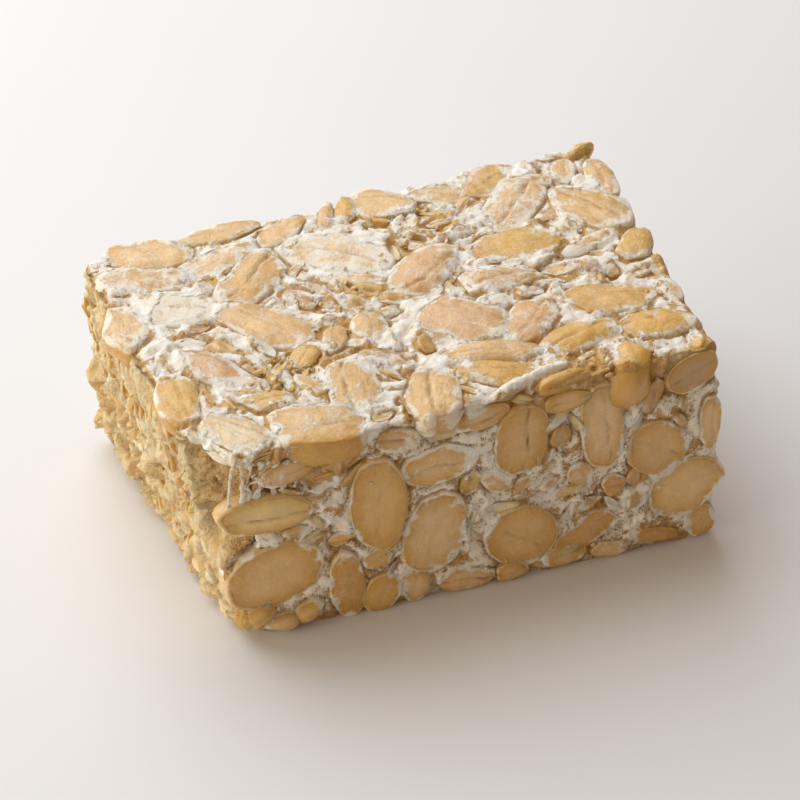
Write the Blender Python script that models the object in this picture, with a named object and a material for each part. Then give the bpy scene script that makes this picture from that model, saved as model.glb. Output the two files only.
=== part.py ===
"""A cake of tempeh: a hand-cut block of soybeans bound together by white mould.

The block is one solid. It is a box whose eight corners are each drawn in by a little, because
the cake was cut by eye, with bowed faces, rounded edges, beans that swell out of the upper face,
a broken left end and a hollow under the skin at the front left edge.

Frame: metres, +Z up, +X along the length, -Y the cut front. The origin is the middle of the
outline on the surface that the cake stands on.
"""

import math

import bmesh
import bpy
from mathutils import Vector, noise

MM = 0.001

# The box that the block is cut from. Beans and crumbs stand proud of it.
LENGTH = 75.0 * MM
DEPTH = 51.5 * MM
HEIGHT = 30.3 * MM

EDGE_RADIUS = 1.6 * MM
CELL = 2.0 * MM

# How far each corner is drawn in from the outer box, along X and along Y.
# The keys say right or left, back or front, top or bottom.
CORNER_INSETS = {
    ("left", "front", "bottom"): (6.3 * MM, 3.6 * MM),
    ("right", "front", "bottom"): (2.8 * MM, 0.0 * MM),
    ("right", "back", "bottom"): (1.8 * MM, 1.4 * MM),
    ("left", "back", "bottom"): (1.6 * MM, 1.6 * MM),
    ("left", "front", "top"): (0.6 * MM, 2.6 * MM),
    ("right", "front", "top"): (3.0 * MM, 2.6 * MM),
    ("right", "back", "top"): (0.0 * MM, 0.0 * MM),
    ("left", "back", "top"): (0.4 * MM, 1.6 * MM),
}

# How far the middle of the broken left end stands out past the straight line of its corners.
LEFT_BOW = 1.6 * MM

# Beans that swell out of the upper face: middle X, middle Y, length, width, turn in degrees.
TOP_BEANS_MM = (
    (-28.0, 22.0, 12.0, 6.5, 15),
    (-31.0, 17.0, 12.0, 6.0, -12),
    (-17.0, 13.0, 13.0, 7.5, 38),
    (-4.5, 14.0, 14.0, 8.0, -38),
    (5.0, 22.5, 11.0, 7.5, -30),
    (20.5, 23.0, 10.0, 6.5, 15),
    (21.5, 16.0, 14.0, 8.0, 40),
    (31.5, 12.5, 13.0, 8.0, -60),
    (18.0, 7.0, 12.5, 7.0, -15),
    (-19.5, 2.5, 14.0, 7.5, -60),
    (5.0, 6.0, 12.5, 7.5, 25),
    (13.0, 1.0, 12.0, 7.0, 0),
    (5.0, -5.5, 13.0, 9.0, -40),
    (14.0, -9.5, 10.5, 7.0, 35),
    (25.0, -8.5, 13.0, 7.0, -15),
    (-27.0, -3.5, 12.0, 6.5, -50),
    (-34.0, -7.0, 11.5, 6.0, 90),
    (-13.0, -14.5, 12.0, 6.5, 80),
    (-20.0, -18.5, 12.5, 8.0, -10),
    (-3.5, -18.5, 12.0, 7.0, 70),
    (6.0, -16.0, 13.5, 8.5, -15),
    (18.0, -14.5, 11.5, 6.0, 10),
    (28.5, -15.5, 11.0, 6.0, 10),
    (33.5, 0.0, 10.0, 6.0, 65),
)
BEAN_RISE = 1.3 * MM
# Between its beans the upper face lies this far below the plain block.
TOP_SINK = 0.3 * MM

# The hollow under the torn skin at the front left edge: its middle, its reach and its depth.
HOLLOW_CENTRE = Vector((-33.5 * MM, -19.0 * MM, 21.0 * MM))
HOLLOW_REACH = 8.0 * MM
HOLLOW_DEPTH = 3.5 * MM

# The crumbled ends and cut faces: the size of a crumb and how far it moves the surface.
CRUMB_SIZE = 6.0 * MM
END_ROUGHNESS = 1.5 * MM
CUT_ROUGHNESS = 0.4 * MM

# The underside is flat as far as this from its edge, and the cake rests on it.
FOOT_RISE = 0.9 * MM

CAKE_COLOUR = (0.62, 0.44, 0.25, 1.0)
CAKE_ROUGHNESS = 0.75


def clear_scene():
    """Removes every object that the scene starts with."""
    for obj in list(bpy.data.objects):
        bpy.data.objects.remove(obj, do_unlink=True)


def cake_material():
    """The cake's one material: matt, and the colour of a cooked soybean."""
    material = bpy.data.materials.new("tempeh")
    material.use_nodes = True
    shader = material.node_tree.nodes["Principled BSDF"]
    shader.inputs["Base Color"].default_value = CAKE_COLOUR
    shader.inputs["Roughness"].default_value = CAKE_ROUGHNESS
    shader.inputs["Metallic"].default_value = 0.0
    return material


def stations(half, cell):
    """Where a side from -half to half is cut: close together at its rounded edges, even between them."""
    edge = [half - EDGE_RADIUS * share for share in (0.15, 0.5, 1.0)]
    inner = edge[-1]
    steps = max(2, round(2 * inner / cell))
    between = [-inner + 2 * inner * i / steps for i in range(1, steps)]
    return [-e for e in edge] + between + edge


def gridded_box(half_sizes):
    """A closed box about the origin whose faces are cut into a grid by planes along all three axes."""
    bm = bmesh.new()
    bmesh.ops.create_cube(bm, size=2.0)
    bmesh.ops.scale(bm, vec=half_sizes, verts=bm.verts)
    for axis, half in enumerate(half_sizes):
        normal = Vector([1.0 if i == axis else 0.0 for i in range(3)])
        for place in stations(half, CELL):
            geometry = bm.verts[:] + bm.edges[:] + bm.faces[:]
            bmesh.ops.bisect_plane(bm, geom=geometry, plane_co=normal * place, plane_no=normal)
    return bm


def rounded(point, half_sizes):
    """The point moved onto the box with its edges rounded: as far as the radius from the box inside it."""
    core = Vector([max(-h + EDGE_RADIUS, min(h - EDGE_RADIUS, c)) for c, h in zip(point, half_sizes)])
    out = point - core
    return core + out.normalized() * EDGE_RADIUS if out.length > 0 else point


def corner_inset(x_share, y_share, z_share):
    """The inset along X and Y at a place in the box, blended between the eight corners' insets."""
    inset_x = inset_y = 0.0
    for (side, end, level), (dx, dy) in CORNER_INSETS.items():
        along = x_share if side == "right" else 1.0 - x_share
        across = y_share if end == "back" else 1.0 - y_share
        up = z_share if level == "top" else 1.0 - z_share
        weight = along * across * up
        inset_x += weight * dx
        inset_y += weight * dy
    return inset_x, inset_y


def hand_cut(point, half_sizes):
    """The point drawn in by its corner insets, most at the sides, and bowed out on the left end."""
    x_side, y_side = (c / h for c, h in zip(point.xy, half_sizes))
    shares = [(c / h + 1.0) / 2.0 for c, h in zip(point, half_sizes)]
    inset_x, inset_y = corner_inset(*shares)
    bow = LEFT_BOW * max(0.0, -x_side) ** 3 * math.sin(math.pi * shares[1])
    return Vector((point.x - x_side * inset_x - bow, point.y - y_side * inset_y, point.z))


def bean_dome(point, bean):
    """The height of one bean's back over the upper face: 1 at its middle and 0 outside its outline."""
    x, y, length, width, turn = bean
    angle = math.radians(turn)
    dx, dy = point.x - x * MM, point.y - y * MM
    along = dx * math.cos(angle) + dy * math.sin(angle)
    across = dy * math.cos(angle) - dx * math.sin(angle)
    inside = 1.0 - (2.0 * along / (length * MM)) ** 2 - (2.0 * across / (width * MM)) ** 2
    return math.sqrt(max(0.0, inside))


def crumbs(point, size):
    """A smooth bumpy field from about -1 to 1, with bumps of the given size."""
    return noise.noise(point / size) + 0.5 * noise.noise(point * 2.0 / size)


def relief(point, normal):
    """How far the surface moves along its normal at a place on the plain block."""
    bumps = crumbs(point, CRUMB_SIZE)
    facing_up = max(0.0, normal.z)
    facing_left = max(0.0, -normal.x)
    beans = BEAN_RISE * max(bean_dome(point, bean) for bean in TOP_BEANS_MM)
    near_hollow = max(0.0, 1.0 - (point - HOLLOW_CENTRE).length / HOLLOW_REACH)
    move = facing_up * (beans - TOP_SINK)
    move += facing_left * END_ROUGHNESS * bumps
    move += (1.0 - facing_up) * CUT_ROUGHNESS * bumps
    return move - HOLLOW_DEPTH * (1.0 - facing_up) * near_hollow


def settle_in_frame(bm):
    """Moves the block so that its outline is centred on the origin and its flat underside is at zero."""
    low = Vector([min(v.co[i] for v in bm.verts) for i in range(3)])
    high = Vector([max(v.co[i] for v in bm.verts) for i in range(3)])
    middle = (low + high) / 2.0
    bmesh.ops.translate(bm, vec=(-middle.x, -middle.y, -low.z), verts=bm.verts)


def build_cake():
    """The cake as one closed mesh object."""
    half_sizes = Vector((LENGTH / 2, DEPTH / 2, HEIGHT / 2))
    bm = gridded_box(half_sizes)
    for vert in bm.verts:
        cut = hand_cut(rounded(vert.co, half_sizes), half_sizes)
        vert.co = cut + Vector((0.0, 0.0, half_sizes.z))
    bm.normal_update()
    moved = [(v, v.co + v.normal * relief(v.co, v.normal)) for v in bm.verts if v.co.z > FOOT_RISE]
    for vert, place in moved:
        vert.co = place
    settle_in_frame(bm)
    mesh = bpy.data.meshes.new("tempeh_cake")
    bm.to_mesh(mesh)
    bm.free()
    mesh.shade_smooth()
    cake = bpy.data.objects.new("tempeh_cake", mesh)
    cake.data.materials.append(cake_material())
    return cake


def main():
    """Builds the cake in a collection of its own."""
    clear_scene()
    collection = bpy.data.collections.new("tempeh_cake")
    bpy.context.scene.collection.children.link(collection)
    collection.objects.link(build_cake())


main()
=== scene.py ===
"""The looks of a hand-cut cake of tempeh: soybeans, the white mould that binds them, and crumbs.

Lengths are in millimetres while the shapes are worked out and become metres when a mesh is made.
The block's own frame has +X along the cake, -Y out of the cut front and +Z up out of the beany
upper face, with the foot at zero. Every surface is a function of two parameters on a grid, worked
out as whole arrays.
"""

from __future__ import annotations

import functools
import logging
import math
from dataclasses import dataclass, field
from enum import Enum
from typing import NamedTuple

import bpy
import numpy as np
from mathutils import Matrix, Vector


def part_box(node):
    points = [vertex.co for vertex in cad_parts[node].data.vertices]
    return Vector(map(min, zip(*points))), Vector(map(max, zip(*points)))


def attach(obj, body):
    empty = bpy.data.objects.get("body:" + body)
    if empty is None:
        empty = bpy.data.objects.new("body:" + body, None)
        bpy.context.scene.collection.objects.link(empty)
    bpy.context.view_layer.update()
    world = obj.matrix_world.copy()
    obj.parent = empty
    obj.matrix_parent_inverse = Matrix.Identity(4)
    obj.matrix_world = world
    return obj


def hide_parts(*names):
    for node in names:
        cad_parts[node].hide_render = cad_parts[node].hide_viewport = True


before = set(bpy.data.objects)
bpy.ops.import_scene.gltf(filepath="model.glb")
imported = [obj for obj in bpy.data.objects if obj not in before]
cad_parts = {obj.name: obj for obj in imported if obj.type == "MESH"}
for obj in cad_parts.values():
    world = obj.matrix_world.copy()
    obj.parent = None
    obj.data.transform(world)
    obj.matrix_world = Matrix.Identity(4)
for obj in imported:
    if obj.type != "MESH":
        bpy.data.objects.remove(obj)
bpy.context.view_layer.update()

LOG = logging.getLogger("tempeh_cake")
NODE = "tempeh_cake"
BODY = "root"
MM = 0.001
Array = np.ndarray

# A distance that stands for "no bean is near", in millimetres.
NO_BEAN = 99.0

# The middle of the plain block stands this far from the middle of the cake's outline.
BLOCK_OFFSET = np.array([0.69, -0.325, 0.0])


# Fields: numbers that vary smoothly or in cells through space


def smoothstep(low: float, high: float, value: Array) -> Array:
    """Rises from 0 at low to 1 at high along 3t^2 - 2t^3, or falls if high is below low.

    Args:
        low: value that gives 0.
        high: value that gives 1.
        value: any array.

    Returns:
        An array of the same shape, from 0 to 1.
    """
    t = np.clip((value - low) / (high - low), 0.0, 1.0)
    return t * t * (3.0 - 2.0 * t)


def hashed(cell: Array, seed: int) -> Array:
    """Mixes whole-number cell coordinates into one evenly spread 32-bit number a cell.

    Args:
        cell: whole numbers, shape (..., 3).
        seed: picks one of many unrelated results.

    Returns:
        Unsigned numbers, shape (...).
    """
    c = cell.astype(np.int64).astype(np.uint64)
    mixed = c[..., 0] * np.uint64(73856093) ^ c[..., 1] * np.uint64(19349663)
    mixed ^= c[..., 2] * np.uint64(83492791) ^ np.uint64(seed * 2654435761 % 2**32)
    for _ in range(2):
        mixed = (mixed ^ (mixed >> np.uint64(15))) * np.uint64(2246822519)
        mixed &= np.uint64(0xFFFFFFFF)
        mixed = (mixed ^ (mixed >> np.uint64(13))) * np.uint64(3266489917)
        mixed &= np.uint64(0xFFFFFFFF)
    return mixed ^ (mixed >> np.uint64(16))


def hash_vector(number: Array) -> Array:
    """Three shares from 0 to 1 out of the bits of each number, stacked on a last axis."""
    parts = [(number >> np.uint64(shift)) & np.uint64(1023) for shift in (0, 10, 20)]
    return np.stack(parts, axis=-1).astype(float) / 1023.0


def noise(points: Array, size: float, seed: int) -> Array:
    """Gradient noise: a slope at each lattice corner, blended by 6t^5 - 15t^4 + 10t^3 between them.

    Args:
        points: places in millimetres, shape (..., 3).
        size: spacing of the lattice in millimetres.
        seed: picks the field.

    Returns:
        Values from about -1 to 1, shape (...).
    """
    scaled = points / size + 0.37 * seed
    base = np.floor(scaled)
    inside = scaled - base
    blend = inside**3 * (inside * (inside * 6.0 - 15.0) + 10.0)
    total = np.zeros(points.shape[:-1])
    for corner in np.ndindex(2, 2, 2):
        step = np.array(corner, float)
        slope = hash_vector(hashed(base + step, seed)) * 2.0 - 1.0
        weight = np.prod(np.where(step > 0, blend, 1.0 - blend), axis=-1)
        total += weight * np.sum(slope * (inside - step), axis=-1)
    return total * 1.6


def billow(points: Array, size: float, seed: int) -> Array:
    """Rounded swellings with sharp creases between them: the noise's distance from zero, 0 to 1."""
    return np.clip(np.abs(noise(points, size, seed)) * 1.8, 0.0, 1.0)


def warped(points: Array, size: float, reach: float, seed: int) -> Array:
    """The points moved about by three noises, so that a pattern read there looks torn and folded.

    Args:
        points: places in millimetres.
        size: size of the swirls.
        reach: how far a point may move.
        seed: picks the field.

    Returns:
        The moved places.
    """
    moves = [noise(points, size, seed + k) for k in range(3)]
    return points + reach * np.stack(moves, axis=-1)


def cells(points: Array, size: float, seed: int) -> tuple[Array, Array, Array, Array]:
    """Scattered cells: for each place the two nearest of one random seed point a lattice cube.

    Args:
        points: places in millimetres, shape (n, 3).
        size: spacing of the lattice in millimetres.
        seed: picks the cells.

    Returns:
        The distance to the nearest seed point, the distance to the second, both in cell sizes,
        the nearest cell's own three random shares, and the way there from its seed point.
    """
    scaled = points / size + 0.53 * seed
    base = np.floor(scaled)
    first = np.full(len(points), 9.0)
    second = np.full(len(points), 9.0)
    tag = np.zeros((len(points), 3))
    offset = np.zeros((len(points), 3))
    for corner in np.ndindex(3, 3, 3):
        cube = base + np.array(corner, float) - 1.0
        shares = hash_vector(hashed(cube, seed))
        way = scaled - cube - shares
        away = np.linalg.norm(way, axis=-1)
        nearer = away < first
        second = np.where(nearer, first, np.minimum(second, away))
        tag[nearer] = shares[nearer]
        offset[nearer] = way[nearer]
        first = np.where(nearer, away, first)
    return first, second, tag, offset


def flakes(points: Array, size: float, seed: int) -> tuple[Array, Array, Array]:
    """Tilted flakes with sharp steps between them, as broken flesh has.

    Each cell is a plane at its own height, from -0.5 to 0.5, and with its own slope.

    Args:
        points: places in millimetres, shape (n, 3).
        size: size of a flake in millimetres.
        seed: picks the flakes.

    Returns:
        The height, a mask that is 0 in the creases between flakes and 1 on them, and each
        flake's three random shares.
    """
    first, second, tag, offset = cells(points, size, seed)
    slope = np.sum(offset * (tag[:, [1, 2, 0]] - 0.5), axis=-1)
    return tag[:, 0] - 0.5 + slope, smoothstep(0.0, 0.16, second - first), tag


def unit(vectors: Array) -> Array:
    """The vectors at length one."""
    return vectors / np.maximum(np.linalg.norm(vectors, axis=-1, keepdims=True), 1e-9)


# Surfaces: grids of points that become meshes


def grid_quads(rows: int, columns: int, wrap: bool) -> Array:
    """The four corners of each cell of a grid whose points are numbered row by row.

    Args:
        rows: rows of points.
        columns: points a row.
        wrap: whether the last column joins the first.

    Returns:
        Point numbers, shape (cells, 4), turned so that row x column points outwards.
    """
    row = np.arange(rows - 1)[:, None]
    column = np.arange(columns if wrap else columns - 1)[None, :]
    after = (column + 1) % columns
    corners = [row * columns + column, row * columns + after]
    corners += [(row + 1) * columns + after, (row + 1) * columns + column]
    return np.stack([c.ravel() for c in corners], axis=-1)


def face_normals(points: Array, quads: Array) -> Array:
    """Outward normals of the points: the sum of the cross products of their quads' diagonals."""
    diagonal = points[quads[:, 2]] - points[quads[:, 0]]
    other = points[quads[:, 3]] - points[quads[:, 1]]
    facing = np.cross(diagonal, other)
    summed = np.zeros_like(points)
    for axis in range(3):
        weights = np.repeat(facing[:, axis], 4)
        summed[:, axis] = np.bincount(quads.ravel(), weights, minlength=len(points))
    return unit(summed)


def even_values(grid: Array, **values: object) -> dict[str, Array]:
    """Numbers or colours that are the same at every point of a grid, by name."""
    shape = grid.shape[:-1]
    return {k: np.broadcast_to(v, (*shape, *np.shape(v))).copy() for k, v in values.items()}


@dataclass
class Surface:
    """Points, polygons and per-point values that grow piece by piece and end as one mesh."""

    points: list[Array] = field(default_factory=list)
    polygons: dict[int, list[Array]] = field(default_factory=dict)
    values: dict[str, list[Array]] = field(default_factory=dict)
    count: int = 0

    def add(self, points: Array, polygons: list[Array], **values: Array) -> None:
        """Adds a closed shape.

        Args:
            points: its places in the block's frame, shape (n, 3).
            polygons: arrays of point numbers, one array for each number of corners.
            values: per-point numbers or colours, by the name that the material reads.
        """
        for corners in polygons:
            self.polygons.setdefault(corners.shape[1], []).append(corners + self.count)
        for name, value in values.items():
            self.values.setdefault(name, []).append(value)
        self.points.append(points)
        self.count += len(points)

    def to_object(self, name: str, material: bpy.types.Material, smooth: bool) -> bpy.types.Object:
        """Makes the mesh object, in metres and in the cake's frame, and puts it in the scene.

        Args:
            name: the piece's name.
            material: its one material.
            smooth: whether shading runs smoothly over its polygons.

        Returns:
            The new object.
        """
        mesh = bpy.data.meshes.new(name)
        places = (np.concatenate(self.points) + BLOCK_OFFSET) * MM
        sizes = sorted(self.polygons)
        groups = [np.concatenate(self.polygons[size]) for size in sizes]
        loops = np.concatenate([group.ravel() for group in groups]).astype(np.int32)
        totals = np.concatenate([np.full(len(g), s, np.int32) for g, s in zip(groups, sizes)])
        starts = np.concatenate([[0], np.cumsum(totals)[:-1]]).astype(np.int32)
        mesh.vertices.add(len(places))
        mesh.vertices.foreach_set("co", places.astype(np.float32).ravel())
        mesh.loops.add(len(loops))
        mesh.loops.foreach_set("vertex_index", loops)
        mesh.polygons.add(len(totals))
        mesh.polygons.foreach_set("loop_start", starts)
        mesh.polygons.foreach_set("loop_total", totals)
        mesh.polygons.foreach_set("use_smooth", np.full(len(totals), smooth))
        mesh.update(calc_edges=True)
        mesh.validate()
        for value_name, parts in self.values.items():
            joined = np.concatenate(parts).astype(np.float32)
            kind = "FLOAT" if joined.ndim == 1 else "FLOAT_VECTOR"
            attribute = mesh.attributes.new(value_name, kind, "POINT")
            attribute.data.foreach_set("value" if joined.ndim == 1 else "vector", joined.ravel())
        mesh.materials.append(material)
        piece = bpy.data.objects.new(name, mesh)
        bpy.context.scene.collection.objects.link(piece)
        triangles = int(np.sum(totals - 2))
        LOG.info("%s: %d points, %d triangles", name, len(places), triangles)
        return piece


# The block that everything sits in


class Face(Enum):
    """The block's six faces: the axis that each lies across, and at which of its ends."""

    TOP = (2, 1)
    FRONT = (1, -1)
    BACK = (1, 1)
    LEFT = (0, -1)
    RIGHT = (0, 1)
    FOOT = (2, -1)

    def normal(self) -> Array:
        """The plain face's outward direction."""
        axis, end = self.value
        return end * np.eye(3)[axis]

    def free(self) -> list[int]:
        """The two axes that run along the face."""
        return [axis for axis in range(3) if axis != self.value[0]]


@dataclass(frozen=True)
class Block:
    """The plain cut block: eight corners, cut by eye, with rounded edges.

    Corners run front left, front right, back right, back left.
    """

    foot: tuple = ((-31.0, -22.0), (34.2, -25.2), (35.8, 25.0), (-35.5, 24.5))
    top: tuple = ((-36.5, -22.6), (33.8, -22.8), (37.3, 26.0), (-37.5, 24.3))
    height: float = 30.5
    edge_radius: float = 1.3
    half: tuple = (37.0, 24.5, 15.25)

    def place(self, shares: Array) -> Array:
        """Trilinear blend of the eight corners.

        Args:
            shares: how far along X, Y and Z, from 0 to 1, shape (..., 3).

        Returns:
            Places in millimetres, shape (..., 3).
        """
        u, v, w = (shares[..., k] for k in range(3))
        weights = ((1 - u) * (1 - v), u * (1 - v), u * v, (1 - u) * v)
        flat = []
        for axis in range(2):
            low = sum(wt * corner[axis] for wt, corner in zip(weights, self.foot))
            high = sum(wt * corner[axis] for wt, corner in zip(weights, self.top))
            flat.append(low * (1 - w) + high * w)
        return np.stack([*flat, w * self.height], axis=-1)

    def rounded(self, box: Array) -> Array:
        """Moves points of the plain box onto the box with rounded edges.

        Each point is put one radius from the nearest point of the box shrunk by that radius.

        Args:
            box: points on the box about the origin with the block's half sizes.

        Returns:
            Their rounded places.
        """
        half = np.array(self.half)
        core = np.clip(box, self.edge_radius - half, half - self.edge_radius)
        return core + unit(box - core) * self.edge_radius

    def on_face(self, face: Face, a: float, b: float) -> tuple[Array, Array, Array, Array]:
        """The place on a face and the directions there.

        Args:
            face: which face.
            a: X on the top, foot, front and back, and Y on the ends, in millimetres.
            b: Y on the top and foot, and Z on the others.

        Returns:
            The place, then the unit vectors to the right, up and out of the face.
        """
        shares = self.face_shares(face, a, b)
        steps = [
            unit(self.place(shares + step) - self.place(shares - step))
            for step in 0.02 * np.eye(3)[face.free()]
        ]
        out = unit(np.cross(*steps))
        if np.dot(out, face.normal()) < 0:
            out = -out
        right = unit(steps[0])
        up = unit(np.cross(out, right))
        return self.place(shares), right, up, out

    def face_shares(self, face: Face, a: float, b: float) -> Array:
        """How far along the block's three directions a place on a face is.

        The shares are found by solving the linear blend along one edge pair after the other.

        Args:
            face: which face.
            a: first coordinate, as in on_face.
            b: second coordinate.

        Returns:
            Three shares from 0 to 1.
        """
        across, end = face.value
        shares = np.full(3, 0.5)
        shares[2] = b / self.height
        shares[across] = max(end, 0)
        wanted = dict(zip(face.free(), (a, b)))
        wanted.pop(2, None)
        for _ in range(4):
            for axis, goal in wanted.items():
                low, high = shares.copy(), shares.copy()
                low[axis], high[axis] = 0.0, 1.0
                start, stop = self.place(low)[axis], self.place(high)[axis]
                shares[axis] = (goal - start) / (stop - start)
        return shares


# Soybeans


def veil_edge(points: Array, gap: Array, frost: Array | float, sliced: Array | float) -> Array:
    """Where the mould's veil ends on a bean: positive under the veil and negative where it is torn.

    It grows outwards from a bean's middle, and three sizes of noise make the edge ragged.

    Args:
        points: places in the block's frame.
        gap: distance from the bean's outline, negative inside.
        frost: how mouldy the bean is.
        sliced: 1 where the knife took the veil off.

    Returns:
        About the distance in millimetres from the veil's torn edge.
    """
    ragged = noise(points, 4.4, 24) + 0.6 * noise(points, 1.8, 25)
    ragged += 0.35 * noise(points, 0.8, 26)
    return 0.9 * (gap + 0.28 - 0.43 * sliced) + ragged + 1.3 * (frost - 0.3)


# Places on the upper edges where no mould hangs over and the flesh glows golden: place and reach.
BARE_SPOTS = (
    (-20.0, -23.5, 28.0, 6.5),
    (-27.0, -23.5, 29.0, 3.0),
    (5.0, -23.5, 29.0, 4.0),
    (12.0, -23.0, 29.5, 5.5),
    (19.0, -22.5, 30.0, 4.5),
    (26.0, -23.0, 29.0, 6.0),
    (33.0, -22.0, 29.0, 5.0),
)


def bare_share(points: Array) -> Array:
    """How bare of mould the edges are: 1 at a bare spot, and less and less further from it."""
    bare = np.zeros(points.shape[:-1])
    for x, y, z, reach in BARE_SPOTS:
        away = np.linalg.norm(points - np.array([x, y, z]), axis=-1)
        bare = np.maximum(bare, smoothstep(reach, 0.45 * reach, away))
    return bare


class Tone(Enum):
    """Colours of cooked soybean flesh, as linear red, green and blue."""

    PALE = (0.77, 0.51, 0.235)
    BEIGE = (0.71, 0.435, 0.155)
    GOLD = (0.70, 0.42, 0.105)
    AMBER = (0.60, 0.30, 0.055)
    # Brightened past the flesh's own colour: painted light on the one chip that stands in shade.
    ORANGE = (1.0, 0.66, 0.21)
    HONEY = (0.74, 0.44, 0.09)
    ROSE = (0.71, 0.42, 0.195)
    BROWN = (0.46, 0.27, 0.10)
    CREAM = (0.82, 0.66, 0.40)
    STRAW = (0.94, 0.79, 0.50)
    YELLOW = (0.82, 0.61, 0.22)


# The exponent of the blunt ellipse that a bean's outline and its rings follow.
BLUNT = 2.3
# How deep below its own middle, in half thicknesses, a bean's outline in the face lies.
OUTLINE_DEPTH = 0.32


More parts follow.
